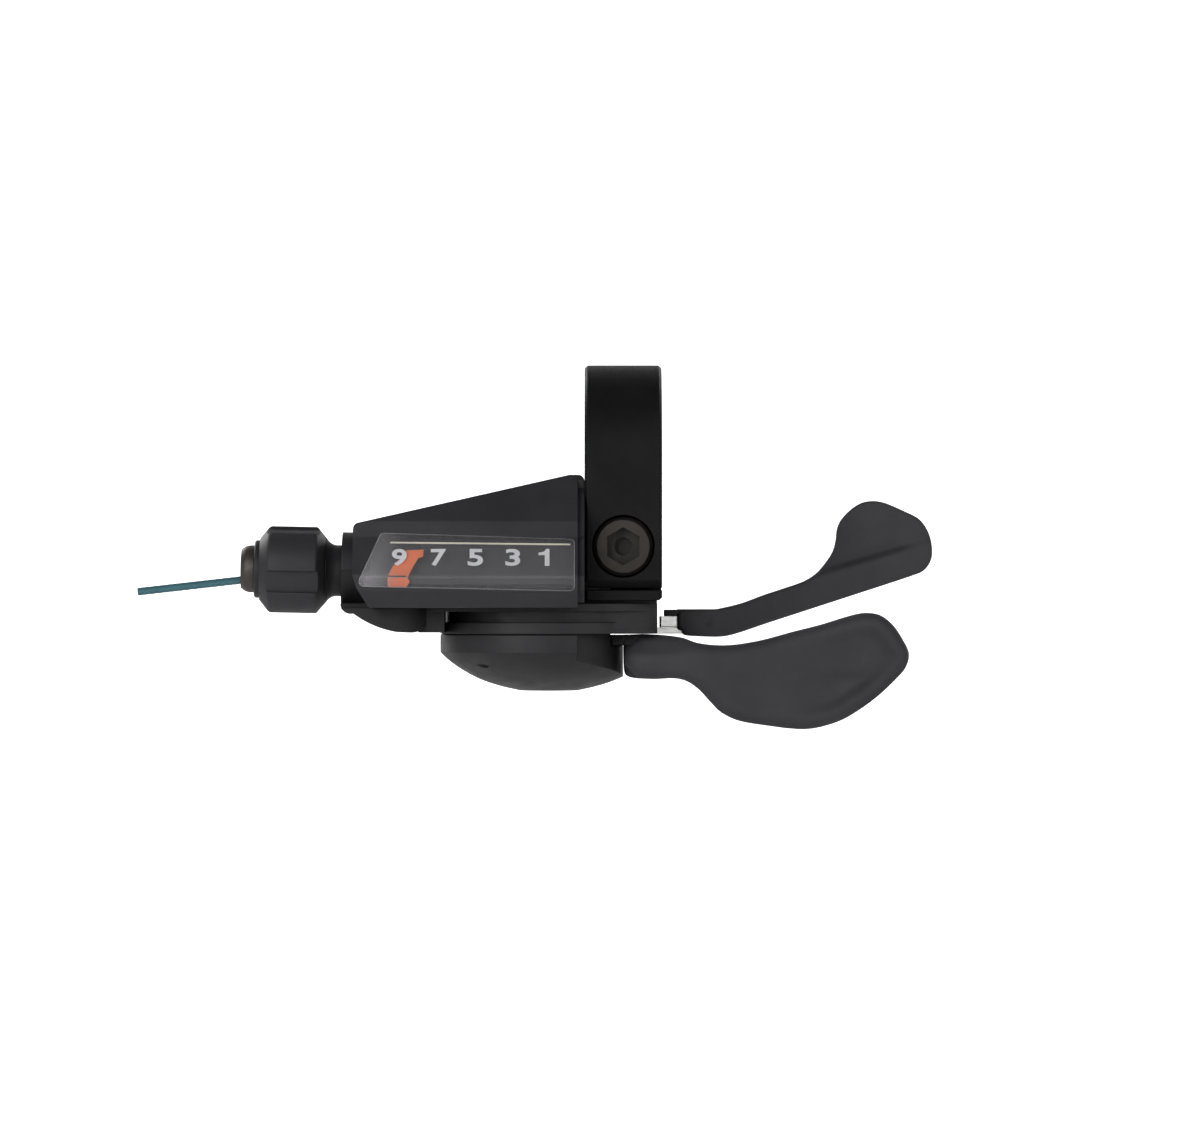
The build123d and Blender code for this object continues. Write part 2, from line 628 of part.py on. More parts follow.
with BuildPart() as drive_hole:
    with BuildSketch(Plane.XY.offset(HUB_BOTTOM)):
        with Locations((AXIS_X, 0)):
            Circle(HUB_R + 0.02)
            Rectangle(10.0, 2 * HUB_FLAT + 0.04, mode=Mode.INTERSECT)
    extrude(amount=HOLD_TOP - HUB_BOTTOM)

with BuildPart() as hold_ratchet:
    with BuildSketch(Plane.XY.offset(HOLD_BOTTOM)):
        with Locations((AXIS_X, 0)):
            Circle(HOLD_R)
        for step in range(CLICKS + 1):
            hold_gap = gap_points(HOLD_R, HOLD_ROOT, HOLD_ANGLE - step * PITCH)
            Polygon(*hold_gap, align=None, mode=Mode.SUBTRACT)
    extrude(amount=HOLD_TOP - HOLD_BOTTOM)
    add(drive_hole.part, mode=Mode.SUBTRACT)

with BuildPart() as wind_ratchet:
    with BuildSketch(Plane.XY.offset(WIND_BOTTOM)):
        with Locations((AXIS_X, 0)):
            Circle(WIND_R)
        for step in range(CLICKS + 4):
            wind_gap = gap_points(WIND_R, WIND_ROOT, WIND_ANGLE + (3 - step) * PITCH)
            Polygon(*wind_gap, align=None, mode=Mode.SUBTRACT)
    extrude(amount=WIND_TOP - WIND_BOTTOM)
    add(drive_hole.part, mode=Mode.SUBTRACT)

# ---------------------------------------------------------------- pawls, pins and leaf springs


def pawl_points(tip, arm):
    """Local outline of a pawl: a nose that drops into a gap and an arm back to its pivot."""
    return [
        (tip, 0.35),
        (tip, -0.35),
        (tip + 1.4, -0.95),
        (tip - 0.1, 1.2 - arm),
        (tip + 0.9, -arm - 1.2),
        (tip + 1.5, 1.0 - arm),
        (tip + 2.5, -1.4),
        (tip + 2.2, 0.35),
    ]


with BuildPart() as hold_pawl:
    with BuildSketch(ratchet_frame(HOLD_ANGLE, HOLD_BOTTOM)):
        Polygon(*pawl_points(HOLD_TIP, HOLD_ARM), align=None)
        with Locations((HOLD_TIP, -HOLD_ARM)):
            Circle(1.45)
            Circle(PAWL_PIN_R + CLEAR, mode=Mode.SUBTRACT)
    extrude(amount=HOLD_TOP - HOLD_BOTTOM)

with BuildPart() as hold_pawl_pin:
    with BuildSketch(ratchet_frame(HOLD_ANGLE, HOLD_BOTTOM - 0.1)):
        with Locations((HOLD_TIP, -HOLD_ARM)):
            Circle(PAWL_PIN_R)
    extrude(amount=FLOOR_BOTTOM + 0.9 - HOLD_BOTTOM + 0.1)
    with BuildSketch(ratchet_frame(HOLD_ANGLE, HOLD_BOTTOM - 0.5)):
        with Locations((HOLD_TIP, -HOLD_ARM)):
            Circle(1.5)
    extrude(amount=0.4)

with BuildPart() as hold_pawl_spring:
    with BuildSketch(ratchet_frame(HOLD_ANGLE, HOLD_BOTTOM + 0.2)):
        Polygon(
            (13.6, 5.9),
            (13.02, 0.9),
            (12.95, -1.2),
            (12.75, -1.2),
            (12.8, 0.9),
            (13.35, 5.9),
            align=None,
        )
    extrude(amount=1.2)

with BuildPart() as wind_pawl:
    with BuildSketch(ratchet_frame(WIND_ANGLE, WIND_BOTTOM)):
        Polygon(*pawl_points(WIND_TIP, WIND_ARM), align=None)
        with Locations((WIND_TIP, -WIND_ARM)):
            Circle(1.6)
            Circle(PAWL_PIN_R + CLEAR, mode=Mode.SUBTRACT)
    extrude(amount=WIND_TOP - WIND_BOTTOM)

with BuildPart() as wind_pawl_pin:
    with BuildSketch(ratchet_frame(WIND_ANGLE, WIND_BOTTOM - 0.1)):
        with Locations((WIND_TIP, -WIND_ARM)):
            Circle(PAWL_PIN_R)
    extrude(amount=LEVER_TOP - WIND_BOTTOM + 0.1)
    with BuildSketch(ratchet_frame(WIND_ANGLE, WIND_BOTTOM - 0.5)):
        with Locations((WIND_TIP, -WIND_ARM)):
            Circle(1.5)
    extrude(amount=0.4)

with BuildPart() as wind_pawl_spring:
    with BuildSketch(ratchet_frame(WIND_ANGLE, WIND_BOTTOM + 0.7)):
        with Locations((11.7, 4.2)):
            Circle(0.7)
        Polygon(
            (11.6, 4.2),
            (11.0, 0.9),
            (10.95, -1.2),
            (10.75, -1.2),
            (10.78, 0.9),
            (11.3, 4.2),
            align=None,
        )
    extrude(amount=LEVER_BOTTOM - WIND_BOTTOM - 0.7)

# ---------------------------------------------------------------- main lever

# Pad outline from the front, from the root's upper edge round the tip to its lower edge
MAIN_OUTLINE = [
    (9.0, -28.3),
    (15.2, -29.0),
    (24.6, -27.6),
    (30.9, -25.6),
    (35.5, -24.2),
    (39.2, -24.5),
    (41.5, -26.4),
    (43.3, -30.2),
    (42.7, -32.4),
    (41.1, -34.7),
    (38.7, -37.0),
    (31.8, -40.9),
    (27.0, -41.9),
    (24.0, -41.7),
    (16.7, -40.3),
    (12.3, -36.7),
    (8.0, -34.2),
]

with BuildPart() as main_lever_plate:
    with BuildSketch(Plane.XY.offset(LEVER_BOTTOM)):
        with Locations((AXIS_X, 0)):
            Circle(9.2)
        # Lobe that carries the winding pawl
        with BuildLine():
            Polyline(polar(5.0, 120), polar(12.5, 134))
            ThreePointArc(polar(12.5, 134), polar(13.1, 173), polar(13.1, 212))
            Polyline(polar(13.1, 212), polar(5.0, 230), polar(5.0, 120))
        make_face()
        # Arm that the pad is moulded over
        Polygon(
            polar(8.0, 30),
            (4.0, 0.6),
            (7.5, -2.6),
            (7.5, -9.6),
            (2.0, -10.0),
            polar(8.0, -62),
            align=None,
        )
        with Locations((AXIS_X, 0)):
            Circle(HUB_R + CLEAR, mode=Mode.SUBTRACT)
    extrude(amount=LEVER_TOP - LEVER_BOTTOM)
    # Rib that fills the slot in the cover, just under the release lever's plate
    with BuildSketch(Plane.XY.offset(LEVER_TOP)):
        Polygon((-4.0, -8.6), (2.0, -10.0), (5.5, -9.7), (5.5, -8.5), (2.0, -8.7), align=None)
    extrude(amount=ARM_TOP - LEVER_TOP)
    with BuildSketch(ratchet_frame(WIND_ANGLE, LEVER_BOTTOM)):
        with Locations((WIND_TIP, -WIND_ARM)):
            Circle(PAWL_PIN_R)
    extrude(amount=LEVER_TOP - LEVER_BOTTOM, mode=Mode.SUBTRACT)

with BuildPart() as main_lever_pad:
    with BuildSketch(Plane.XZ.offset(-4.0)):
        with BuildLine():
            Polyline((0.0, -34.2), (-4.0, -34.2), (-4.0, -27.6), (3.5, -27.6), MAIN_OUTLINE[0])
            Spline(*MAIN_OUTLINE)
            Polyline(MAIN_OUTLINE[-1], (0.0, -34.2))
        make_face()
    extrude(amount=24.0)
    # Plan shape: a root block round the axis that runs out into a slightly hollow thumb face
    with BuildSketch(Plane.XY.offset(-45.0)):
        with BuildLine():
            Spline((2.0, -11.4), (10.0, -13.2), (24.0, -13.6), (36.0, -14.8), (44.4, -17.6))
            Polyline((44.4, -17.6), (44.4, -13.6))
            Spline((44.4, -13.6), (34.0, -10.4), (24.0, -8.6), (14.0, -5.0), (7.0, 0.6))
            Polyline((7.0, 0.6), (0.15, 1.6), (0.15, -10.6), (2.0, -11.4))
        make_face()
    extrude(amount=25.0, mode=Mode.INTERSECT)
    with Locations((AXIS_X, 0, -45.0)):
        Cylinder(13.9, 30.0, align=BASE, mode=Mode.SUBTRACT)
    add(main_lever_plate.part, mode=Mode.SUBTRACT)
    # Dished thumb face
    with Locations((29.5, -38.0, -33.2)):
        Sphere(25.0, mode=Mode.SUBTRACT)

with BuildPart() as main_spring:
    with BuildLine() as main_coil:
        Helix(pitch=0.95, height=2.4, radius=5.4, center=(AXIS_X, 0, -33.9))
    with BuildSketch(Plane(origin=main_coil.line @ 0, z_dir=main_coil.line % 0)):
        Circle(0.4)
    sweep()

# ---------------------------------------------------------------- release lever

RELEASE_ANGLE = 16.0
# Paddle outline from the front, from the arm's upper edge round the tip to the lower edge
PADDLE_OUTLINE = [
    (28.3, -19.1),
    (31.0, -16.4),
    (32.5, -13.1),
    (34.3, -9.4),
    (36.4, -7.6),
    (38.8, -6.9),
    (41.1, -7.2),
    (45.8, -9.4),
    (47.7, -11.3),
    (48.4, -14.4),
    (48.1, -16.2),
    (46.2, -18.0),
]

with BuildPart() as release_plate:
    with BuildSketch(ratchet_frame(RELEASE_ANGLE, RELEASE_BOTTOM)):
        Circle(7.8)
        Polygon(
            (5.0, -4.0),
            (24.0, -4.0),
            (27.0, -1.5),
            (27.0, 1.5),
            (24.0, 3.6),
            (5.0, 4.0),
            align=None,
        )
        with Locations(Location((0, 0, 0), (0, 0, RELEASE_EAR - RELEASE_ANGLE))):
            Rectangle(9.2, 2.4, align=(Align.MIN, Align.CENTER))
        Circle(HUB_R + CLEAR, mode=Mode.SUBTRACT)
    extrude(amount=RELEASE_TOP - RELEASE_BOTTOM)
    # Flange bent up along the rider-side edge
    with BuildSketch(ratchet_frame(RELEASE_ANGLE, RELEASE_BOTTOM)):
        Polygon((16.8, -4.0), (20.4, -4.0), (20.4, -3.1), (16.8, -3.1), align=None)
    extrude(amount=2.7)
    with BuildSketch(ratchet_frame(RELEASE_ANGLE, RELEASE_TOP)):
        with Locations((18.6, -4.0)):
            Rectangle(4.0, 0.5)
    extrude(amount=0.22, mode=Mode.SUBTRACT)

with BuildPart() as release_recess:
    with BuildSketch(Plane.XZ.offset(-26.0)):
        Polygon((27.5, -19.6), (31.5, -18.9), (47.5, -13.4), (50.0, -6.0), (27.5, -6.0), align=None)
    extrude(amount=26.0)
    with BuildSketch(Plane.XY.offset(-30.0)):
        with BuildLine():
            Spline((22.0, 11.0), (28.0, 14.9), (38.0, 18.6), (49.5, 20.5))
            Polyline((49.5, 20.5), (49.5, 10.0), (22.0, 0.0), (22.0, 11.0))
        make_face()
    extrude(amount=25.0, mode=Mode.INTERSECT)

with BuildPart() as release_lever:
    with BuildSketch(Plane.XZ.offset(-26.0)):
        with BuildLine():
            Polyline((8.4, -26.9), (8.4, -24.65), (6.4, -24.65), (6.4, -23.7), (14.7, -23.6))
            Line((14.7, -23.6), PADDLE_OUTLINE[0])
            Spline(*PADDLE_OUTLINE)
            Polyline(PADDLE_OUTLINE[-1], (16.5, -27.4), (14.4, -27.7), (9.1, -27.7))
            Polyline((9.1, -27.7), (9.1, -26.9), (8.4, -26.9))
        make_face()
    extrude(amount=26.0)
    with BuildSketch(Plane.XY.offset(-30.0)):
        with BuildLine():
            Spline((7.0, 0.8), (12.0, 1.7), (16.0, 4.6), (24.0, 11.6), (36.0, 17.6), (48.5, 19.6))
            Polyline((48.5, 19.6), (48.0, 23.4))
            Spline((48.0, 23.4), (35.0, 21.4), (23.0, 16.6), (13.0, 12.2), (7.0, 10.4))
            Polyline((7.0, 10.4), (7.0, 9.0), (6.0, 2.0), (6.0, 0.8), (7.0, 0.8))
        make_face()
    extrude(amount=25.0, mode=Mode.INTERSECT)
    add(release_plate.part, mode=Mode.SUBTRACT)
    add(release_recess.part, mode=Mode.SUBTRACT)

with BuildPart() as release_spring:
    with BuildLine() as release_coil:
        Helix(
            pitch=0.5,
            height=3.6,
            radius=0.62,
            center=(*polar(9.4, RELEASE_EAR), -26.95),
            direction=(cos(radians(RELEASE_EAR)), sin(radians(RELEASE_EAR)), 0),
        )
    with BuildSketch(Plane(origin=release_coil.line @ 0, z_dir=release_coil.line % 0)):
        Circle(0.17)
    sweep()

# ---------------------------------------------------------------- dome cover

DOME = [
    (16.7, -30.2),
    (15.2, -31.6),
    (13.65, -32.7),
    (10.6, -34.35),
    (7.5, -35.4),
    (4.4, -36.1),
]

with BuildPart() as bottom_cover:
    with BuildSketch(Plane.XZ):
        with BuildLine():
            Polyline(
                (AXIS_X, COVER_TOP),
                (AXIS_X + 16.4, COVER_TOP),
                (AXIS_X + 16.7, COVER_TOP - 0.25),
                (AXIS_X + 16.7, -30.2),
            )
            Spline(*[(AXIS_X + r, z) for r, z in DOME])
            Polyline((AXIS_X + 4.4, -36.1), (AXIS_X, -36.2), (AXIS_X, COVER_TOP))
        make_face()
    revolve(axis=Axis((AXIS_X, 0, 0), (0, 0, 1)))
    # Flank cut back so that the main lever's root can swing past
    with BuildSketch(Plane.XY.offset(-37.0)):
        with Locations((AXIS_X - 3.0, -2.5)):
            Circle(14.4)
        Polygon(
            polar(4.0, 60),
            polar(22.0, 78),
            polar(30.0, 180),
            polar(24.0, -76),
            polar(4.0, -60),
            align=None,
        )
    extrude(amount=12.0, mode=Mode.INTERSECT)
    # Hollow, in steps that follow the dome
    for radius, depth in ((15.5, -30.3), (13.0, -31.9), (10.2, -33.2), (7.2, -34.3), (4.6, -34.9)):
        with BuildSketch(Plane.XY.offset(depth)):
            with Locations((AXIS_X, 0)):
                Circle(radius)
            with Locations((AXIS_X - 3.0, -2.5)):
                Circle(13.2, mode=Mode.INTERSECT)
        extrude(amount=-27.0 - depth, mode=Mode.SUBTRACT)
    with BuildSketch(Plane.XY.offset(LEVER_BOTTOM - 0.1)):
        with Locations((AXIS_X, 0)):
            Circle(15.5)
        Polygon(
            (AXIS_X, 0),
            polar(26.0, 74),
            polar(50.0, 15),
            polar(26.0, -46),
            align=None,
            mode=Mode.INTERSECT,
        )
    extrude(amount=3.0, mode=Mode.SUBTRACT)
    with Locations((-21.8, -10.4, -32.2)):
        Box(2.6, 1.4, 0.45, mode=Mode.SUBTRACT)
    with Locations((AXIS_X, 0, -37.0)):
        Cylinder(1.55, 3.0, align=BASE, mode=Mode.SUBTRACT)
        Cylinder(2.8, 1.5, align=BASE, mode=Mode.SUBTRACT)

with BuildPart() as cover_screw:
    with Locations((AXIS_X, 0, -36.1)):
        Cylinder(2.6, 0.6, align=BASE)
        Cylinder(1.48, 5.0, align=BASE)
        Box(3.4, 0.6, 0.4, align=BASE, mode=Mode.SUBTRACT)
        Box(0.6, 3.4, 0.4, align=BASE, mode=Mode.SUBTRACT)

# ---------------------------------------------------------------- cable adjuster

with BuildPart() as adjuster_barrel:
    with BuildSketch(Plane.XY) as barrel_half:
        with BuildLine():
            Polyline(
                (BARREL_BORE, -3.9),
                (THREAD_R, -3.9),
                (THREAD_R, 13.4),
                (3.6, 13.4),
                (3.6, 14.1),
                (3.45, 14.7),
                (3.15, 15.15),
                (2.95, 15.4),
                (BARREL_BORE, 11.8),
                close=True,
            )
        make_face()
    revolve(axis=Axis.Y)

with BuildPart() as adjuster_knob:
    # Four broad grip lobes with flat valleys between them
    with BuildSketch(Plane.XY):
        Circle(KNOB_R)
        with PolarLocations(KNOB_R - 0.55, KNOB_LOBES, start_angle=KNOB_START):
            Rectangle(2.0, 3.4, align=(Align.MIN, Align.CENTER), mode=Mode.SUBTRACT)
        Circle(THREAD_R, mode=Mode.SUBTRACT)
    extrude(amount=10.9)
    with BuildSketch(Plane.XZ):
        with BuildLine():
            Polyline((0, 0), (4.95, 0), (6.3, 1.15))
            ThreePointArc((6.3, 1.15), (6.52, 1.35), (KNOB_R, 1.65))
            Line((KNOB_R, 1.65), (KNOB_R, 8.3))
            ThreePointArc((KNOB_R, 8.3), (6.5, 8.6), (6.3, 8.85))
            Polyline((6.3, 8.85), (4.75, 10.1), (4.4, 10.1), (4.4, 10.7), (4.2, 10.9), (0, 10.9), (0, 0))
        make_face()
    revolve(axis=Axis.Z, mode=Mode.INTERSECT)

with BuildPart() as adjuster_ring:
    with BuildSketch(Plane.XY) as ring_half:
        with BuildLine():
            Polyline((THREAD_R + CLEAR, 0), (3.9, 0), (3.9, 0.9))
            ThreePointArc((3.9, 0.9), (4.2, 1.7), (4.9, 2.35))
            Polyline((4.9, 2.35), (THREAD_R + CLEAR, 2.35), (THREAD_R + CLEAR, 0))
        make_face()
    revolve(axis=Axis.Y)

# The adjuster's parts are drawn on their own axis and then set into the boss
adjuster_barrel.part.move(ADJUSTER.location * Location((0, 0, 0), (90, 0, 0)))
adjuster_knob.part.move(ADJUSTER.location * Location((0, 0, 2.45)))
adjuster_ring.part.move(ADJUSTER.location * Location((0, 0, 0.05), (90, 0, 0)))

# ---------------------------------------------------------------- inner cable

TAIL_START = (-52.0, WIRE_Y, -18.4)
TAIL_LENGTH = 22.2
TAIL_DIR = (-cos(radians(CABLE_SLOPE)), 0, -sin(radians(CABLE_SLOPE)))

with BuildPart() as cable_tail:
    with BuildSketch(Plane(origin=TAIL_START, z_dir=TAIL_DIR)):
        Circle(WIRE_R)
    extrude(amount=TAIL_LENGTH)

with BuildPart() as cable_run:
    with BuildLine() as run_path:
        Line((-51.9, WIRE_Y, -18.4), (AXIS_X - 0.2, WIRE_Y, WIRE_Z))
    with BuildSketch(Plane(origin=run_path.line @ 0, z_dir=run_path.line % 0)):
        Circle(WIRE_R)
    sweep()

# ---------------------------------------------------------------- files, one per node

pieces = {
    "clamp_band": clamp_band,
    "clamp_bolt": clamp_bolt,
    "foot_screws": foot_screws,
    "bracket": bracket,
    "display_housing": display_housing,
    "display_window": display_window,
    "housing_screws": housing_screws,
    "dial_plate": dial_plate,
    "dial_numerals": dial_numerals,
    "dial_line": dial_line,
    "indicator_needle": indicator_needle,
    "indicator_wire": indicator_wire,
    "axle": axle,
    "hub_washer": hub_washer,
    "axle_nut": axle_nut,
    "spool": spool,
    "cable_head": cable_head,
    "hold_ratchet": hold_ratchet,
    "wind_ratchet": wind_ratchet,
    "hold_pawl": hold_pawl,
    "hold_pawl_pin": hold_pawl_pin,
    "hold_pawl_spring": hold_pawl_spring,
    "wind_pawl": wind_pawl,
    "wind_pawl_pin": wind_pawl_pin,
    "wind_pawl_spring": wind_pawl_spring,
    "main_lever_plate": main_lever_plate,
    "main_lever_pad": main_lever_pad,
    "main_spring": main_spring,
    "release_plate": release_plate,
    "release_lever": release_lever,
    "release_spring": release_spring,
    "bottom_cover": bottom_cover,
    "cover_screw": cover_screw,
    "adjuster_barrel": adjuster_barrel,
    "adjuster_knob": adjuster_knob,
    "adjuster_ring": adjuster_ring,
    "cable_tail": cable_tail,
    "cable_run": cable_run,
}
for label, piece in pieces.items():
    piece.part.label = label
    export_step(piece.part, f"parts/{label}.step")
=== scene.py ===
import json
import math

import bmesh
import bpy
import numpy as np
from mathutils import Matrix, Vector


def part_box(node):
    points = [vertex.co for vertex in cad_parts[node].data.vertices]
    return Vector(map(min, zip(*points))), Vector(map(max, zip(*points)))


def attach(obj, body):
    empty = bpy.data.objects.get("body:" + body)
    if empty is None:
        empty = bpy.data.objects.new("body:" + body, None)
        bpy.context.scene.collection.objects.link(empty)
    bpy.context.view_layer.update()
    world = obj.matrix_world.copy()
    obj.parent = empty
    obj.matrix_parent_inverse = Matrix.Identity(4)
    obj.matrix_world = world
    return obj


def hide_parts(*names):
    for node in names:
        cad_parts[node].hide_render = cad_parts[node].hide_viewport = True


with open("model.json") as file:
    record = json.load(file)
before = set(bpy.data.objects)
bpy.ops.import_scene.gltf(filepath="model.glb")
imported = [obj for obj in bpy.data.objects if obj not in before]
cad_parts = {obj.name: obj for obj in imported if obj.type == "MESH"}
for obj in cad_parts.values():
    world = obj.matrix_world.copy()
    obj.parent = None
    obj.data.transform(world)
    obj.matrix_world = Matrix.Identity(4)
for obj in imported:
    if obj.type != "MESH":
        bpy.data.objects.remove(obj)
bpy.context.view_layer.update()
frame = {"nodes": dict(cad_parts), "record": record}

# Values with MM are in metres; the outlines and reliefs of the levers are in plain millimetres
MM = 0.001
NODES = frame["nodes"]
WELD = 0.002 * MM
CREASE_ANGLE = math.radians(32)

# Surface detail shared by the materials; noise scales are in features per metre
CLOUD_SCALE = 90.0
WEAR_SCALE = 150.0
GLOSS_SCALE = 260.0
BRUSH_SCALE = 2500.0
GRAIN_SCALE = 5200.0
GRAIN_DEPTH = 0.02 * MM
BRUSH_DEPTH = 0.01 * MM
PLASTIC_GLOSS = 0.24
# Painted shade in nooks: how far it looks for nearby surfaces, its darkest share and its samples
NOOK_REACH = 5.0 * MM
NOOK_DARKEST = 0.35
NOOK_SAMPLES = 8
BEVEL_SAMPLES = 6

# Window: where the painted reflection at its left end fades along the bar, the share of light that the
# haze stops, and its rim, which carries a painted highlight
WINDOW_LEFT_REFLECTION_X = (-39.0 * MM, -33.5 * MM)
WINDOW_HAZE = (0.12, 0.2)
WINDOW_LEFT_REFLECTION_COVER = 0.1
WINDOW_TINT = (0.23, 0.23, 0.24)
WINDOW_LEFT_REFLECTION_TINT = (0.5, 0.49, 0.525)
WINDOW_RIM = 0.3 * MM
WINDOW_RIM_TURN = (0.93, 0.995)
WINDOW_RIM_HIGHLIGHT = (0.42, 0.42, 0.45)
WINDOW_RIM_COVER = 0.3
WINDOW_GLOSS = 0.22

# Light levels of the studio
WORLD_HORIZON = 0.42
WORLD_ZENITH = 0.05
PAPER_GLOW_OTHER = 0.16
PAPER_GLOW_CAMERA = 0.8
KEY_POWER = 3.5
FILL_POWER = 2.0
BACK_POWER = 2.5

# ------------------------------------------------------------------ materials


def new_material(name):
    """An empty node material with a Principled shader wired to the output."""
    mat = bpy.data.materials.new(name)
    mat.use_nodes = True
    tree = mat.node_tree
    tree.nodes.clear()
    out = tree.nodes.new("ShaderNodeOutputMaterial")
    shader = tree.nodes.new("ShaderNodeBsdfPrincipled")
    tree.links.new(shader.outputs["BSDF"], out.inputs["Surface"])
    return mat, tree, shader


def noise(tree, scale, detail=4.0, rough=0.55, stretch=None):
    """Noise in object space; scale is in features per metre."""
    coord = tree.nodes.new("ShaderNodeTexCoord")
    source = coord.outputs["Object"]
    if stretch is not None:
        mapping = tree.nodes.new("ShaderNodeMapping")
        mapping.inputs["Scale"].default_value = stretch
        tree.links.new(source, mapping.inputs["Vector"])
        source = mapping.outputs["Vector"]
    tex = tree.nodes.new("ShaderNodeTexNoise")
    tex.inputs["Scale"].default_value = scale
    tex.inputs["Detail"].default_value = detail
    tex.inputs["Roughness"].default_value = rough
    tree.links.new(source, tex.inputs["Vector"])
    return tex.outputs["Fac"]


def remap(tree, value, low, high, from_low=0.3, from_high=0.7):
    """Value rescaled in a straight line; the default input range is that of the noise."""
    node = tree.nodes.new("ShaderNodeMapRange")
    node.inputs["From Min"].default_value = from_low
    node.inputs["From Max"].default_value = from_high
    node.inputs["To Min"].default_value = low
    node.inputs["To Max"].default_value = high
    tree.links.new(value, node.inputs["Value"])
    return node.outputs["Result"]


def mix_color(tree, factor, a, b):
    """Blend of two fixed colours by a factor."""
    node = tree.nodes.new("ShaderNodeMix")
    node.data_type = "RGBA"
    tree.links.new(factor, node.inputs["Factor"])
    node.inputs["A"].default_value = (*a, 1)
    node.inputs["B"].default_value = (*b, 1)
    return node.outputs["Result"]


def bump(tree, shader, height, strength, distance, edge_radius=0.0):
    """Bump over rounded edges: the edge radius softens every sharp corner of the mesh."""
    node = tree.nodes.new("ShaderNodeBump")
    node.inputs["Strength"].default_value = strength
    node.inputs["Distance"].default_value = distance
    tree.links.new(height, node.inputs["Height"])
    if edge_radius > 0:
        bevel = tree.nodes.new("ShaderNodeBevel")
        bevel.samples = BEVEL_SAMPLES
        bevel.inputs["Radius"].default_value = edge_radius
        tree.links.new(bevel.outputs["Normal"], node.inputs["Normal"])
    tree.links.new(node.outputs["Normal"], shader.inputs["Normal"])


def painted_nook_shade(tree, color, strength):
    """Painted shade: base colour darkened where nearby surfaces hem it in."""
    nook = tree.nodes.new("ShaderNodeAmbientOcclusion")
    nook.samples = NOOK_SAMPLES
    nook.inputs["Distance"].default_value = NOOK_REACH
    shade = remap(tree, nook.outputs["AO"], 1.0 - strength, 1.0, NOOK_DARKEST, 1.0)
    node = tree.nodes.new("ShaderNodeVectorMath")
    node.operation = "SCALE"
    tree.links.new(color, node.inputs[0])
    tree.links.new(shade, node.inputs["Scale"])
    return node.outputs["Vector"]


def plastic(name, base, worn, rough=(0.38, 0.52), grain=0.35, edge=0.25 * MM, nook_shade=0.6):
    """Moulded plastic: fine spark-eroded grain, cloudy gloss and a slight shade drift."""
    mat, tree, shader = new_material(name)
    cloud = noise(tree, CLOUD_SCALE, 3.0)
    color = mix_color(tree, remap(tree, cloud, 0.0, 1.0), base, worn)
    # Painted shade: the base colour darkens in nooks and between parts
    if nook_shade:
        color = painted_nook_shade(tree, color, nook_shade)
    tree.links.new(color, shader.inputs["Base Color"])
    gloss = noise(tree, GLOSS_SCALE, 5.0)
    tree.links.new(remap(tree, gloss, *rough), shader.inputs["Roughness"])
    shader.inputs["Specular IOR Level"].default_value = PLASTIC_GLOSS
    bump(tree, shader, noise(tree, GRAIN_SCALE, 2.0), grain, GRAIN_DEPTH, edge)
    return mat


def metal(
    name,
    base,
    worn,
    rough=(0.25, 0.4),
    stretch=(1, 1, 1),
    strength=0.25,
    metallic=1.0,
    edge=0.12 * MM,
    gloss=0.5,
):
    """Machined or plated metal: directional brushing in both gloss and relief."""
    mat, tree, shader = new_material(name)
    shader.inputs["Specular IOR Level"].default_value = gloss
    brush = noise(tree, BRUSH_SCALE, 3.0, 0.6, stretch)
    wear = remap(tree, noise(tree, WEAR_SCALE), 0.0, 1.0)
    tree.links.new(mix_color(tree, wear, base, worn), shader.inputs["Base Color"])
    tree.links.new(remap(tree, brush, *rough), shader.inputs["Roughness"])
    shader.inputs["Metallic"].default_value = metallic
    bump(tree, shader, brush, strength, BRUSH_DEPTH, edge)
    return mat


M_BODY = plastic("body_plastic", (0.022, 0.021, 0.0232), (0.030, 0.0288, 0.0318), (0.46, 0.6))
# Painted shade: a darker copy of the body plastic for the bracket and bottom cover, standing in for the
# shade on them
M_BRACKET_SHADE = plastic("bracket_plastic_painted_shade", (0.0165, 0.0158, 0.0174), (0.0225, 0.0217, 0.0238), (0.46, 0.6))
M_PAD = plastic(
    "pad_plastic",
    (0.03, 0.0287, 0.0318),
    (0.039, 0.0376, 0.0414),
    (0.6, 0.72),
    grain=0.45,
    nook_shade=0.5,
)
M_BAND = metal(
    "band_metal",
    (0.005, 0.005, 0.0053),
    (0.008, 0.008, 0.0084),
    (0.42, 0.55),
    metallic=0.0,
    strength=0.1,
    edge=0.2 * MM,
    gloss=0.1,
)
M_BOLT = metal("bolt_steel", (0.024, 0.0205, 0.0175), (0.042, 0.036, 0.031), (0.4, 0.56), metallic=0.6)
M_STEEL = metal(
    "bright_steel", (0.42, 0.42, 0.405), (0.52, 0.52, 0.505), (0.28, 0.45), stretch=(0.1, 1, 1)
)
M_SPRING = metal("spring_steel", (0.09, 0.09, 0.095), (0.14, 0.14, 0.145))
M_BARREL = metal("barrel_metal", (0.034, 0.028, 0.025), (0.058, 0.049, 0.044), (0.4, 0.58), metallic=0.5)
M_CABLE = metal(
    "cable_teal", (0.016, 0.075, 0.092), (0.036, 0.125, 0.148), (0.45, 0.6), metallic=0.1, edge=0
)
M_SPOOL = plastic("spool_plastic", (0.40, 0.40, 0.37), (0.5, 0.5, 0.46))
M_DIAL = plastic("dial_black", (0.03, 0.029, 0.032), (0.065, 0.062, 0.066), grain=0.15, nook_shade=0)
M_PRINT = plastic("print_grey", (0.86, 0.86, 0.90), (0.93, 0.93, 0.97), grain=0.1, edge=0, nook_shade=0)
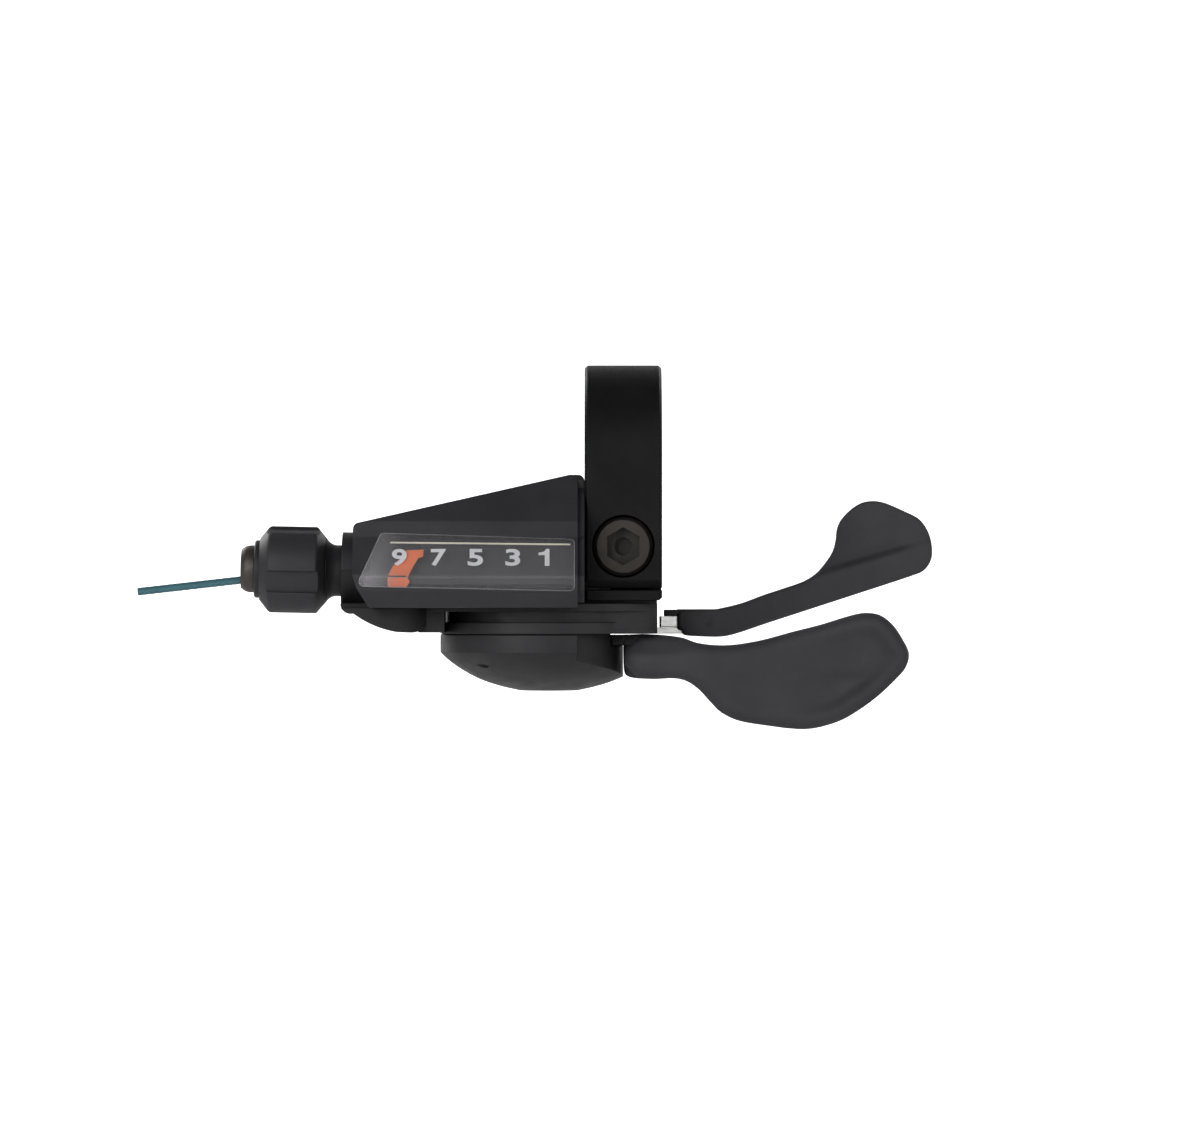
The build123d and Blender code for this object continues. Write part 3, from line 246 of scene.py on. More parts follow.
M_CREAM = plastic("print_cream", (0.85, 0.80, 0.66), (0.92, 0.87, 0.74), grain=0.1, edge=0, nook_shade=0)
M_NEEDLE = plastic(
    "needle_orange", (1.0, 0.185, 0.06), (1.0, 0.25, 0.09), grain=0.12, edge=0.05 * MM, nook_shade=0
)


def clear_plastic(name):
    """Smoky clear plastic: glossy skin and faint streaks of haze, with a painted reflection that makes
    it lighter and denser towards the left end.
    """
    mat, tree, shader = new_material(name)
    streak = noise(tree, 60.0, 3.0, stretch=(0.3, 1.0, 3.0))
    place = tree.nodes.new("ShaderNodeSeparateXYZ")
    tree.links.new(tree.nodes.new("ShaderNodeTexCoord").outputs["Object"], place.inputs["Vector"])
    # Painted reflection: lighter colour and more cover towards the left end
    left = remap(tree, place.outputs["X"], 1.0, 0.0, *WINDOW_LEFT_REFLECTION_X)
    tint = mix_color(tree, left, WINDOW_TINT, WINDOW_LEFT_REFLECTION_TINT)
    # Painted highlight on the cut edges: lighter colour and more cover where the rounded normal leaves
    # the true one
    rounded = tree.nodes.new("ShaderNodeBevel")
    rounded.samples = BEVEL_SAMPLES
    rounded.inputs["Radius"].default_value = WINDOW_RIM
    turn = tree.nodes.new("ShaderNodeVectorMath")
    turn.operation = "DOT_PRODUCT"
    tree.links.new(rounded.outputs["Normal"], turn.inputs[0])
    tree.links.new(tree.nodes.new("ShaderNodeNewGeometry").outputs["Normal"], turn.inputs[1])
    rim = remap(tree, turn.outputs["Value"], 1.0, 0.0, *WINDOW_RIM_TURN)
    edge = tree.nodes.new("ShaderNodeMix")
    edge.data_type = "RGBA"
    edge.inputs["B"].default_value = (*WINDOW_RIM_HIGHLIGHT, 1)
    tree.links.new(rim, edge.inputs["Factor"])
    tree.links.new(tint, edge.inputs["A"])
    tree.links.new(edge.outputs["Result"], shader.inputs["Base Color"])
    tree.links.new(remap(tree, noise(tree, 300.0, 5.0), 0.06, 0.14), shader.inputs["Roughness"])
    shader.inputs["Specular IOR Level"].default_value = WINDOW_GLOSS
    # Cover of the haze: the streaks plus the painted reflection's share at the left end
    haze = tree.nodes.new("ShaderNodeMath")
    haze.operation = "MULTIPLY_ADD"
    haze.inputs[1].default_value = WINDOW_LEFT_REFLECTION_COVER
    tree.links.new(left, haze.inputs[0])
    tree.links.new(remap(tree, streak, *WINDOW_HAZE), haze.inputs[2])
    # Painted highlight: the rim adds its share of cover on top of the haze
    cover = tree.nodes.new("ShaderNodeMath")
    cover.operation = "MULTIPLY_ADD"
    cover.inputs[1].default_value = WINDOW_RIM_COVER
    tree.links.new(rim, cover.inputs[0])
    tree.links.new(haze.outputs["Value"], cover.inputs[2])
    tree.links.new(cover.outputs["Value"], shader.inputs["Alpha"])
    bump(tree, shader, noise(tree, 900.0, 3.0), 0.03, 0.01 * MM, 0.25 * MM)
    return mat


M_WINDOW = clear_plastic("window_clear")

# The bracket and bottom cover take the darker copy of the body plastic as painted shade; the lever plate
# takes the black band finish
BY_NODE = {"bracket": M_BRACKET_SHADE, "bottom_cover": M_BRACKET_SHADE, "main_lever_plate": M_BAND}
BY_SLOT = {
    "body_plastic": M_BODY,
    "band_metal": M_BAND,
    "bolt_steel": M_BOLT,
    "bright_steel": M_STEEL,
    "window_clear": M_WINDOW,
    "dial_black": M_DIAL,
    "print_grey": M_PRINT,
    "print_cream": M_CREAM,
    "needle_orange": M_NEEDLE,
    "spool_plastic": M_SPOOL,
    "spring_steel": M_SPRING,
    "cable_teal": M_CABLE,
    "barrel_metal": M_BARREL,
}

# ------------------------------------------------------------------ CAD nodes: material and shading


def smooth_group():
    """Geometry nodes: weld, then smooth shading with edges above the crease angle kept sharp."""
    tree = bpy.data.node_groups.new("smooth_by_angle", "GeometryNodeTree")
    tree.interface.new_socket("Geometry", in_out="INPUT", socket_type="NodeSocketGeometry")
    tree.interface.new_socket("Geometry", in_out="OUTPUT", socket_type="NodeSocketGeometry")
    start = tree.nodes.new("NodeGroupInput")
    end = tree.nodes.new("NodeGroupOutput")
    weld = tree.nodes.new("GeometryNodeMergeByDistance")
    weld.inputs["Distance"].default_value = WELD
    faces = tree.nodes.new("GeometryNodeSetShadeSmooth")
    faces.domain = "FACE"
    faces.inputs["Shade Smooth"].default_value = True
    edges = tree.nodes.new("GeometryNodeSetShadeSmooth")
    edges.domain = "EDGE"
    edges.inputs["Shade Smooth"].default_value = False
    angle = tree.nodes.new("GeometryNodeInputMeshEdgeAngle")
    compare = tree.nodes.new("FunctionNodeCompare")
    compare.data_type = "FLOAT"
    compare.operation = "GREATER_THAN"
    compare.inputs["B"].default_value = CREASE_ANGLE
    tree.links.new(start.outputs["Geometry"], weld.inputs["Geometry"])
    tree.links.new(weld.outputs["Geometry"], faces.inputs["Geometry"])
    tree.links.new(faces.outputs["Geometry"], edges.inputs["Geometry"])
    tree.links.new(angle.outputs["Unsigned Angle"], compare.inputs["A"])
    tree.links.new(compare.outputs["Result"], edges.inputs["Selection"])
    tree.links.new(edges.outputs["Geometry"], end.inputs["Geometry"])
    return tree


SMOOTH = smooth_group()
SLOTS = {row["node"]: row["material_slot"] for row in frame["record"]["subparts"]}
BODY_OF = {
    node: body for body, nodes in frame["record"]["behaviour"]["bodies"].items() for node in nodes
}

for name, obj in NODES.items():
    obj.data.materials.clear()
    obj.data.materials.append(BY_NODE.get(name) or BY_SLOT[SLOTS[name]])
    shade = obj.modifiers.new("smooth", "NODES")
    shade.node_group = SMOOTH

# ------------------------------------------------------------------ moulded lever grips


def smoothstep(low, high, value):
    """Eased rise from 0 to 1 between two values, which may be given in falling order."""
    t = np.clip((value - low) / (high - low), 0.0, 1.0)
    return t * t * (3.0 - 2.0 * t)


def through(x, stations, values):
    """Smooth curve through the given values; flat beyond the ends."""
    if x <= stations[0]:
        return values[0]
    if x >= stations[-1]:
        return values[-1]
    slopes = np.gradient(values, stations)
    i = int(np.searchsorted(stations, x)) - 1
    span = stations[i + 1] - stations[i]
    t = (x - stations[i]) / span
    return float(
        (2 * t**3 - 3 * t**2 + 1) * values[i]
        + (t**3 - 2 * t**2 + t) * span * slopes[i]
        + (3 * t**2 - 2 * t**3) * values[i + 1]
        + (t**3 - t**2) * span * slopes[i + 1]
    )


def dense_outline(points, step, sharp=()):
    """Closed smooth curve through the points, sampled evenly; sharp corners stay corners."""
    pts = np.array(points, float)
    count = len(pts)
    out = []
    for i in range(count):
        p0, p1, p2, p3 = pts[i - 1], pts[i], pts[(i + 1) % count], pts[(i + 2) % count]
        if i in sharp:
            p0 = p1
        if (i + 1) % count in sharp:
            p3 = p2
        span = np.linalg.norm(p2 - p1)
        m1 = (p2 - p0) * span / max(np.linalg.norm(p2 - p1) + np.linalg.norm(p1 - p0), 1e-9)
        m2 = (p3 - p1) * span / max(np.linalg.norm(p3 - p2) + np.linalg.norm(p2 - p1), 1e-9)
        for k in range(max(1, round(span / step))):
            t = k / max(1, round(span / step))
            out.append(
                (2 * t**3 - 3 * t**2 + 1) * p1
                + (t**3 - 2 * t**2 + t) * m1
                + (3 * t**2 - 2 * t**3) * p2
                + (t**3 - t**2) * m2
            )
    return np.array(out)


def nearest_on(outline, points):
    """Distance, arc position and sign (inside or not) of points against a closed outline."""
    start = outline
    end = np.roll(outline, -1, axis=0)
    seg = end - start
    length = np.maximum(np.linalg.norm(seg, axis=1), 1e-9)
    before = np.concatenate([[0.0], np.cumsum(length)[:-1]])
    rel = points[:, None, :] - start[None]
    t = np.clip((rel * seg[None]).sum(2) / (length**2)[None], 0.0, 1.0)
    gap = np.linalg.norm(rel - t[..., None] * seg[None], axis=2)
    best = gap.argmin(1)
    rows = np.arange(len(points))
    crossing = (start[None, :, 1] > points[:, None, 1]) != (end[None, :, 1] > points[:, None, 1])
    rise = np.where(np.abs(seg[:, 1]) < 1e-12, 1e-12, seg[:, 1])
    cut = start[None, :, 0] + (points[:, None, 1] - start[None, :, 1]) * (seg[:, 0] / rise)[None]
    inside = (crossing & (points[:, None, 0] < cut)).sum(1) % 2 == 1
    position = before[best] + t[rows, best] * length[best]
    return gap[rows, best], position, inside, length.sum()


def at_position(outline, position):
    """Point at a distance along a closed outline."""
    closed = np.vstack([outline, outline[:1]])
    length = np.concatenate([[0.0], np.cumsum(np.linalg.norm(np.diff(closed, axis=0), axis=1))])
    position = position % length[-1]
    return np.interp(position, length, closed[:, 0]), np.interp(position, length, closed[:, 1])


def roll(depth, radius):
    """How far a rounded edge falls back at a distance inside the outline."""
    inner = np.clip(radius - depth, 0.0, radius)
    return radius - np.sqrt(radius**2 - inner**2)


def moulding(name, outline, front, back, radius, step=0.35, rings=6):
    """Solid between two relief surfaces over a front-view outline, with rolled edges, in mm."""
    low = outline.min(0) - step
    high = outline.max(0) + step
    xs = np.arange(low[0], high[0] + step, step)
    zs = np.arange(low[1], high[1] + step, step)
    grid = np.array([(x, z) for x in xs for z in zs])
    gap, position, inside, total = nearest_on(outline, grid)
    keep = inside & (gap > radius)
    index = np.arange(len(grid)).reshape(len(xs), len(zs))
    cells = []
    # Cell edges in the order that they are met
    edges = {}
    for i in range(len(xs) - 1):
        for j in range(len(zs) - 1):
            cell = (index[i, j], index[i + 1, j], index[i + 1, j + 1], index[i, j + 1])
            if all(keep[c] for c in cell):
                cells.append(cell)
                for a, b in zip(cell, cell[1:] + cell[:1]):
                    edges[(a, b)] = True
    border = [(a, b) for a, b in edges if (b, a) not in edges]
    verts = []
    lookup = {}

    def vertex(key, x, z, depth, side):
        if (key, side) not in lookup:
            surface = front(x, z, depth) + roll(depth, radius)
            if side:
                surface = back(x, z, depth) - roll(depth, radius)
            lookup[(key, side)] = len(verts)
            verts.append((x * MM, float(surface) * MM, z * MM))
        return lookup[(key, side)]

    def inner(p, side):
        return vertex(("grid", p), grid[p][0], grid[p][1], gap[p], side)

    def ring(p, k, side):
        if k == 0:
            return inner(p, side)
        share = math.sin(math.pi / 2 * k / rings)
        edge_x, edge_z = at_position(outline, position[p])
        x = grid[p][0] + (edge_x - grid[p][0]) * share
        z = grid[p][1] + (edge_z - grid[p][1]) * share
        return vertex(("ring", p, k), x, z, gap[p] * (1 - share), side)

    faces = []
    for cell in cells:
        faces.append([inner(c, 0) for c in cell])
        faces.append([inner(c, 1) for c in reversed(cell)])
    for a, b in border:
        for k in range(rings - 1):
            quad = [(b, k), (a, k), (a, k + 1), (b, k + 1)]
            faces.append([ring(p, n, 0) for p, n in quad])
            faces.append([ring(p, n, 1) for p, n in reversed(quad)])
        span = (position[b] - position[a] + total / 2) % total - total / 2
        pieces = max(1, round(abs(span) / step))
        rim = []
        for side in (0, 1):
            row = [ring(a, rings, side)]
            for n in range(1, pieces):
                x, z = at_position(outline, position[a] + span * n / pieces)
                row.append(vertex(("mid", a, b, n), float(x), float(z), 0.0, side))
            row.append(ring(b, rings, side))
            rim.append(row)
        faces.append([ring(b, rings - 1, 0), ring(a, rings - 1, 0)] + rim[0])
        faces.append(list(reversed([ring(b, rings - 1, 1), ring(a, rings - 1, 1)] + rim[1])))
        for n in range(pieces):
            faces.append([rim[0][n + 1], rim[0][n], rim[1][n], rim[1][n + 1]])
    return mesh_object(name, verts, faces)


def mesh_object(name, verts, faces):
    """Smooth-shaded mesh object with coinciding corners welded."""
    mesh = bpy.data.meshes.new(name)
    mesh.from_pydata(verts, [], faces)
    made = bmesh.new()
    made.from_mesh(mesh)
    bmesh.ops.remove_doubles(made, verts=made.verts, dist=WELD)
    bmesh.ops.dissolve_degenerate(made, dist=WELD, edges=made.edges)
    made.to_mesh(mesh)
    made.free()
    mesh.polygons.foreach_set("use_smooth", [True] * len(mesh.polygons))
    obj = bpy.data.objects.new(name, mesh)
    bpy.context.scene.collection.objects.link(obj)
    return obj


def stands_for(obj, material, node):
    """Finish, slot and body of a piece that replaces a CAD node."""
    obj.data.materials.append(material)
    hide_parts(node)
    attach(obj, BODY_OF[node])


# Winding lever: front-view outline in mm, clockwise from the root's top left
MAIN_OUTLINE = [
    (0.0, -27.44),
    (4.0, -27.44),
    (8.8, -27.9),
    (11.7, -28.8),
    (16.0, -29.05),
    (20.9, -28.3),
    (25.7, -27.0),
    (30.0, -25.9),
    (34.2, -24.6),
    (36.6, -24.1),
    (38.9, -24.4),
    (40.8, -25.8),
    (42.2, -27.8),
    (43.3, -30.2),
    (42.8, -32.4),
    (41.0, -34.5),
    (38.7, -36.7),
    (35.8, -38.9),
    (33.0, -40.5),
    (29.4, -41.6),
    (26.6, -41.8),
    (22.1, -41.3),
    (17.5, -40.5),
    (14.8, -39.2),
    (13.1, -37.5),
    (11.4, -35.7),
    (9.6, -34.5),
    (7.8, -34.1),
    (5.0, -34.2),
    (2.0, -34.1),
    (0.5, -33.7),
    (0.1, -32.8),
]
MAIN_FRONT_X = (0.0, 2.0, 10.0, 24.0, 36.0, 44.4)
MAIN_FRONT_Y = (-10.7, -11.4, -13.2, -13.6, -14.8, -17.6)
MAIN_BACK_X = (2.7, 7.0, 14.0, 24.0, 34.0, 44.4)
MAIN_BACK_Y = (0.0, 0.6, -5.0, -8.6, -10.4, -13.6)
MAIN_EDGE = 1.8
OUTLINE_STEP = 0.3

# The drum that the lever's root follows, round the lever's own axis
JOINTS = {joint["name"]: joint for joint in frame["record"]["behaviour"]["joints"]}
AXIS_X = JOINTS["main_lever_push"]["pos_m"][0] / MM
ROOT_RADIUS = 13.95

# Relief of the thumb face: how deep each hollow is, and between which values it sets in
DISH_DEPTH = 1.2
DISH_X = (24.0, 34.0)
DISH_EDGE = (1.3, 3.8)
DISH_LOWER_Z = (-32.0, -35.0)
DISH_UPPER_SHARE = 0.45
BOWL_DEPTH = 0.45
BOWL_X = (9.0, 16.0)
BOWL_EDGE = (1.8, 6.5)
HOLLOW_DEPTH = 1.1
HOLLOW_X = (12.5, 7.0)
HOLLOW_Z = (-31.0, -28.6)


def main_front(x, z, depth):
    """Thumb face: a dish at the tip, a shallow bowl over the length, a hollow above the root."""
    base = through(x, MAIN_FRONT_X, MAIN_FRONT_Y)
    lower = smoothstep(*DISH_LOWER_Z, z)
    share = smoothstep(*DISH_X, x) * (DISH_UPPER_SHARE + (1.0 - DISH_UPPER_SHARE) * lower)
    dish = DISH_DEPTH * share * smoothstep(*DISH_EDGE, depth)
    bowl = BOWL_DEPTH * smoothstep(*BOWL_X, x) * smoothstep(*BOWL_EDGE, depth)
    hollow = HOLLOW_DEPTH * smoothstep(*HOLLOW_Z, z) * smoothstep(*HOLLOW_X, x)
    return base + dish + bowl + hollow


def main_back(x, z, depth):
    """Back of the lever: it follows the drum near the axis and the thumb face further out."""
    reach = x - AXIS_X
    if reach < ROOT_RADIUS:
        return -math.sqrt(ROOT_RADIUS**2 - reach**2)
    return through(x, MAIN_BACK_X, MAIN_BACK_Y)


pad = moulding(
    "main_lever_grip",
    dense_outline(MAIN_OUTLINE, OUTLINE_STEP, sharp=(0,)),
    main_front,
    main_back,
    MAIN_EDGE,
)
stands_for(pad, M_PAD, "main_lever_pad")

# Release lever: front-view outline in mm, clockwise from the arm's top left
RELEASE_OUTLINE = [
    (8.4, -23.66),
    (14.6, -23.66),
    (18.3, -22.8),
    (22.2, -21.4),
    (25.6, -20.3),
    (28.4, -19.3),
    (30.3, -18.1),
    (31.8, -16.4),
    (32.9, -14.7),
    (33.4, -12.9),
    (33.6, -11.2),
    (34.2, -9.8),
    (35.8, -8.1),
    (37.6, -7.0),
    (39.5, -6.75),
    (41.3, -7.1),
    (44.1, -8.3),
    (46.3, -9.4),
    (47.5, -10.7),
    (48.3, -12.5),
    (48.6, -14.7),
    (48.3, -16.3),
    (47.2, -17.7),
    (45.8, -18.35),
    (34.0, -22.2),
    (22.5, -25.85),
    (17.3, -27.5),
    (15.0, -27.9),
    (10.4, -27.75),
    (9.3, -27.6),
    (9.15, -26.95),
    (8.4, -26.8),
]
RELEASE_FRONT_X = (7.0, 12.0, 16.0, 24.0, 36.0, 48.5)
RELEASE_FRONT_Y = (0.8, 1.7, 4.6, 11.6, 17.6, 19.6)
RELEASE_BACK_X = (7.0, 14.0, 24.0, 36.0, 48.5)
RELEASE_BACK_Y = (10.4, 12.8, 17.1, 21.6, 23.6)
RELEASE_EDGE = 0.5
RELEASE_STEP = 0.3
# Places of the sharp corners in the outline
RELEASE_CORNERS = (0, 1, 29, 30, 31)

# Top edge of the straight bar, and the step back to the paddle above it
BAR_START = (28.2, -19.4)
BAR_END = (47.3, -13.8)
BAR_SLOPE = (BAR_END[1] - BAR_START[1]) / (BAR_END[0] - BAR_START[0])
PADDLE_X = (26.5, 33.0)
PADDLE_END_X = (42.0, 47.0)
PADDLE_END_SHARE = 0.25
PADDLE_STEP = 1.25
PADDLE_STEP_RISE = (-0.1, 1.3)
PADDLE_SWELL = 0.5
PADDLE_SWELL_RISE = (3.0, 9.0)

# Small round mark on the arm, and the patch of grip pits on the paddle
DIMPLE = (13.3, -25.6)
DIMPLE_DEPTH = 0.35
DIMPLE_EDGE = (0.3, 0.8)
PITS_CENTRE = (38.6, -12.3)
PITS_RADIUS = 2.6
PITS_DEPTH = 0.09
PITS_RATE = 5.2


def release_front(x, z, depth):
    """Face of the release lever: paddle set back above the straight bar, pits for grip."""
    base = through(x, RELEASE_FRONT_X, RELEASE_FRONT_Y)
    above = z - (BAR_START[1] + BAR_SLOPE * (x - BAR_START[0]))
    reach = smoothstep(*PADDLE_X, x) * (1.0 - (1.0 - PADDLE_END_SHARE) * smoothstep(*PADDLE_END_X, x))
    base += PADDLE_STEP * reach * smoothstep(*PADDLE_STEP_RISE, above)
    base -= PADDLE_SWELL * reach * smoothstep(*PADDLE_SWELL_RISE, above)
    from_dimple = math.hypot(x - DIMPLE[0], z - DIMPLE[1])
    base += DIMPLE_DEPTH * (1.0 - smoothstep(*DIMPLE_EDGE, from_dimple))
    if math.hypot(x - PITS_CENTRE[0], z - PITS_CENTRE[1]) < PITS_RADIUS:
        wave = math.sin(x * PITS_RATE) * math.sin(z * PITS_RATE)
        base += PITS_DEPTH * max(0.0, wave)
    return base


def release_back(x, z, depth):
    """Back of the release lever: a plain curve along its length."""
    return through(x, RELEASE_BACK_X, RELEASE_BACK_Y)


paddle = moulding(
    "release_lever_grip",
    dense_outline(RELEASE_OUTLINE, OUTLINE_STEP, sharp=RELEASE_CORNERS),
    release_front,
    release_back,
    RELEASE_EDGE,
    step=RELEASE_STEP,
)
stands_for(paddle, M_PAD, "release_lever")


# Small tab at the arm's end, between two corners
TAB_LOW = (6.3, 1.3, -24.7)
TAB_HIGH = (9.4, 4.4, -23.7)
TAB_EDGE = 0.12


def rounded_block(name, low, high, edge):
    """Box between two corners, in mm, with its edges rounded."""
    made = bmesh.new()
    bmesh.ops.create_cube(made, size=1.0)
    for vert in made.verts:
        vert.co = Vector((low[i] + (vert.co[i] + 0.5) * (high[i] - low[i])) * MM for i in range(3))
    bmesh.ops.bevel(made, geom=made.edges, offset=edge * MM, segments=3, profile=0.5, affect="EDGES")
    mesh = bpy.data.meshes.new(name)
    made.to_mesh(mesh)
    made.free()
    mesh.polygons.foreach_set("use_smooth", [True] * len(mesh.polygons))
    obj = bpy.data.objects.new(name, mesh)
    bpy.context.scene.collection.objects.link(obj)
    return obj


tab = rounded_block("release_lever_tab", TAB_LOW, TAB_HIGH, TAB_EDGE)
stands_for(tab, M_PAD, "release_lever")

# ------------------------------------------------------------------ inner cable, laid up from strands

STRANDS = 7
STRAND_SIDES = 8
LAY_LENGTH = 7.5 * MM
ROW_STEP = 0.14 * MM
# Groove between strands, as a share of the radius, and how sharply it cuts in
GROOVE = 0.16
GROOVE_POWER = 0.6


def laid_cable(name, start, end, radius):
    """Rope-lay cross-section twisted along a straight line."""
    start, end = Vector(start), Vector(end)
    axis = (end - start).normalized()
    side = axis.cross(Vector((0, 0, 1))).normalized()
    up = side.cross(axis)
    count = STRANDS * STRAND_SIDES
    rows = int((end - start).length / ROW_STEP)
    verts = []
    for row in range(rows + 1):
        along = (end - start).length * row / rows
        twist = 2 * math.pi * along / LAY_LENGTH
        for n in range(count):
            angle = 2 * math.pi * n / count
            phase = abs(math.sin(STRANDS * angle / 2))
            r = radius * (1.0 - GROOVE + GROOVE * phase**GROOVE_POWER)
            ray = side * math.cos(angle + twist) + up * math.sin(angle + twist)
            verts.append(start + axis * along + ray * r)
    faces = []
    for row in range(rows):
        for n in range(count):
            a = row * count + n
            b = row * count + (n + 1) % count
            faces.append([a, b, b + count, a + count])
    faces.append(list(range(count))[::-1])
    faces.append([rows * count + n for n in range(count)])
    return mesh_object(name, verts, faces)


tail_low, tail_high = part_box("cable_tail")
tail_y = (tail_low.y + tail_high.y) / 2
tail_radius = (tail_high.y - tail_low.y) / 2
tail = laid_cable(
    "cable_tail_strands",
    (tail_high.x, tail_y, tail_high.z - tail_radius),
    (tail_low.x, tail_y, tail_low.z + tail_radius),
    tail_radius,
)
stands_for(tail, M_CABLE, "cable_tail")

# ------------------------------------------------------------------ printed numerals

# Sloping face that carries the numerals: its outward and upward directions and a point on it
SLOPE_NORMAL = Vector((0, -0.8276, 0.5613))
SLOPE_UP = Vector((0, 0.5613, 0.8276))
SLOPE_ORIGIN = Vector((0, -18.7 * MM, -12.6 * MM))
PRINT_DEPTH = 1.22 * MM
PRINT_THICK = 0.08 * MM
DIGIT_HEIGHT = 3.05 * MM
DIGIT_CENTRE = -2.88 * MM
# Each numeral's centre along the bar and its width, in mm
DIGITS = (("9", -33.85, 2.25), ("7", -27.95, 2.3), ("5", -22.35, 2.3), ("3", -16.7, 2.25))
ONE_CENTRE = -12.0
ONE_WIDTH = 1.65
# Shape of the figure one, as shares of its width and height
ONE_SHAPE = (
    (1, 0),
    (1, 1),
    (0.68, 1),
    (0.57, 0.88),
    (0.35, 0.81),
    (0, 0.78),
    (0, 0.64),
    (0.57, 0.64),
    (0.57, 0),
)


def on_slope(along, upward, depth):
    """Point of the printed face, in metres: along the bar, up the slope and below the skin."""
    return SLOPE_ORIGIN + Vector((along, 0, 0)) + SLOPE_UP * upward - SLOPE_NORMAL * depth


def numeral_mesh():
    """Corners and faces of the numerals: a drawn one, and the others from the built-in font."""
    verts = []
    faces = []
    for layer in (PRINT_DEPTH, PRINT_DEPTH + PRINT_THICK):
        for across, height in ONE_SHAPE:
            along = (ONE_CENTRE + (across - 0.5) * ONE_WIDTH) * MM
            verts.append(on_slope(along, DIGIT_CENTRE + (height - 0.5) * DIGIT_HEIGHT, layer))
    count = len(ONE_SHAPE)
    faces.append(list(range(count)))
    faces.append(list(range(count, 2 * count))[::-1])
    faces.extend([(n + 1) % count, n, n + count, (n + 1) % count + count] for n in range(count))
    for char, centre, width in DIGITS:
        curve = bpy.data.curves.new("digit", "FONT")
        curve.body = char
        curve.size = 1.0
        curve.offset = 0.022
        curve.extrude = 0.05
        curve.resolution_u = 6
        holder = bpy.data.objects.new("digit", curve)
        bpy.context.scene.collection.objects.link(holder)
        bpy.context.view_layer.update()
        evaluated = holder.evaluated_get(bpy.context.evaluated_depsgraph_get())
        shape = bpy.data.meshes.new_from_object(evaluated)
        bpy.data.objects.remove(holder)
        co = np.array([v.co for v in shape.vertices])
        low, high = co.min(0), co.max(0)
        base = len(verts)
        for x, y, z in co:
            along = centre * MM + ((x - low[0]) / (high[0] - low[0]) - 0.5) * width * MM
            upward = DIGIT_CENTRE + ((y - low[1]) / (high[1] - low[1]) - 0.5) * DIGIT_HEIGHT
            depth = PRINT_DEPTH + (high[2] - z) / (high[2] - low[2]) * PRINT_THICK
            verts.append(on_slope(along, upward, depth))
        faces.extend([base + i for i in poly.vertices] for poly in shape.polygons)
        bpy.data.meshes.remove(shape)
    return verts, faces


numerals = mesh_object("dial_digits", *numeral_mesh())
numerals.data.polygons.foreach_set("use_smooth", [False] * len(numerals.data.polygons))
stands_for(numerals, M_PRINT, "dial_numerals")

# ------------------------------------------------------------------ stage, light, camera

CENTRE = Vector((-3.54 * MM, 0, -17.97 * MM))
CAMERA_Y = -1.026
# Paper sweep, in metres
FLOOR_Z = -46.2 * MM
FLOOR_FRONT = -1.6
SWEEP_START = 0.35
SWEEP_RADIUS = 0.5
SWEEP_STEPS = 24
WALL_TOP = 2.0
PAPER_HALF_WIDTH = 2.0


def backdrop():
    """Paper sweep: level under the object, curving up into a wall behind it."""
    profile = [(FLOOR_FRONT, FLOOR_Z), (SWEEP_START, FLOOR_Z)]
    for n in range(1, SWEEP_STEPS + 1):
        angle = math.pi / 2 * n / SWEEP_STEPS
        profile.append(
            (
                SWEEP_START + SWEEP_RADIUS * math.sin(angle),
                FLOOR_Z + SWEEP_RADIUS * (1 - math.cos(angle)),
            )
        )
    profile.append((SWEEP_START + SWEEP_RADIUS, WALL_TOP))
    verts = [(x, y, z) for y, z in profile for x in (-PAPER_HALF_WIDTH, PAPER_HALF_WIDTH)]
    faces = [[2 * n, 2 * n + 1, 2 * n + 3, 2 * n + 2] for n in range(len(profile) - 1)]
    return mesh_object("backdrop", verts, faces)


def backdrop_paper():
    """Paper that glows to the camera; it is clear from behind, so that it never hides the object."""
    mat, tree, shader = new_material("backdrop_paper")
    shader.inputs["Base Color"].default_value = (0.9, 0.9, 0.9, 1)
    shader.inputs["Roughness"].default_value = 0.95
    shader.inputs["Specular IOR Level"].default_value = 0.0
    shader.inputs["Emission Color"].default_value = (1, 1, 1, 1)
    seen = tree.nodes.new("ShaderNodeLightPath")
    glow = tree.nodes.new("ShaderNodeMapRange")
    glow.inputs["To Min"].default_value = PAPER_GLOW_OTHER
    glow.inputs["To Max"].default_value = PAPER_GLOW_CAMERA
    tree.links.new(seen.outputs["Is Camera Ray"], glow.inputs["Value"])
    tree.links.new(glow.outputs["Result"], shader.inputs["Emission Strength"])
    facing = tree.nodes.new("ShaderNodeMath")
    facing.operation = "SUBTRACT"
    facing.inputs[0].default_value = 1.0
    side = tree.nodes.new("ShaderNodeNewGeometry")
    tree.links.new(side.outputs["Backfacing"], facing.inputs[1])
    tree.links.new(facing.outputs["Value"], shader.inputs["Alpha"])
    bump(tree, shader, noise(tree, 900.0), 0.03, 0.05 * MM)
    return mat


paper = backdrop()
paper.data.materials.append(backdrop_paper())


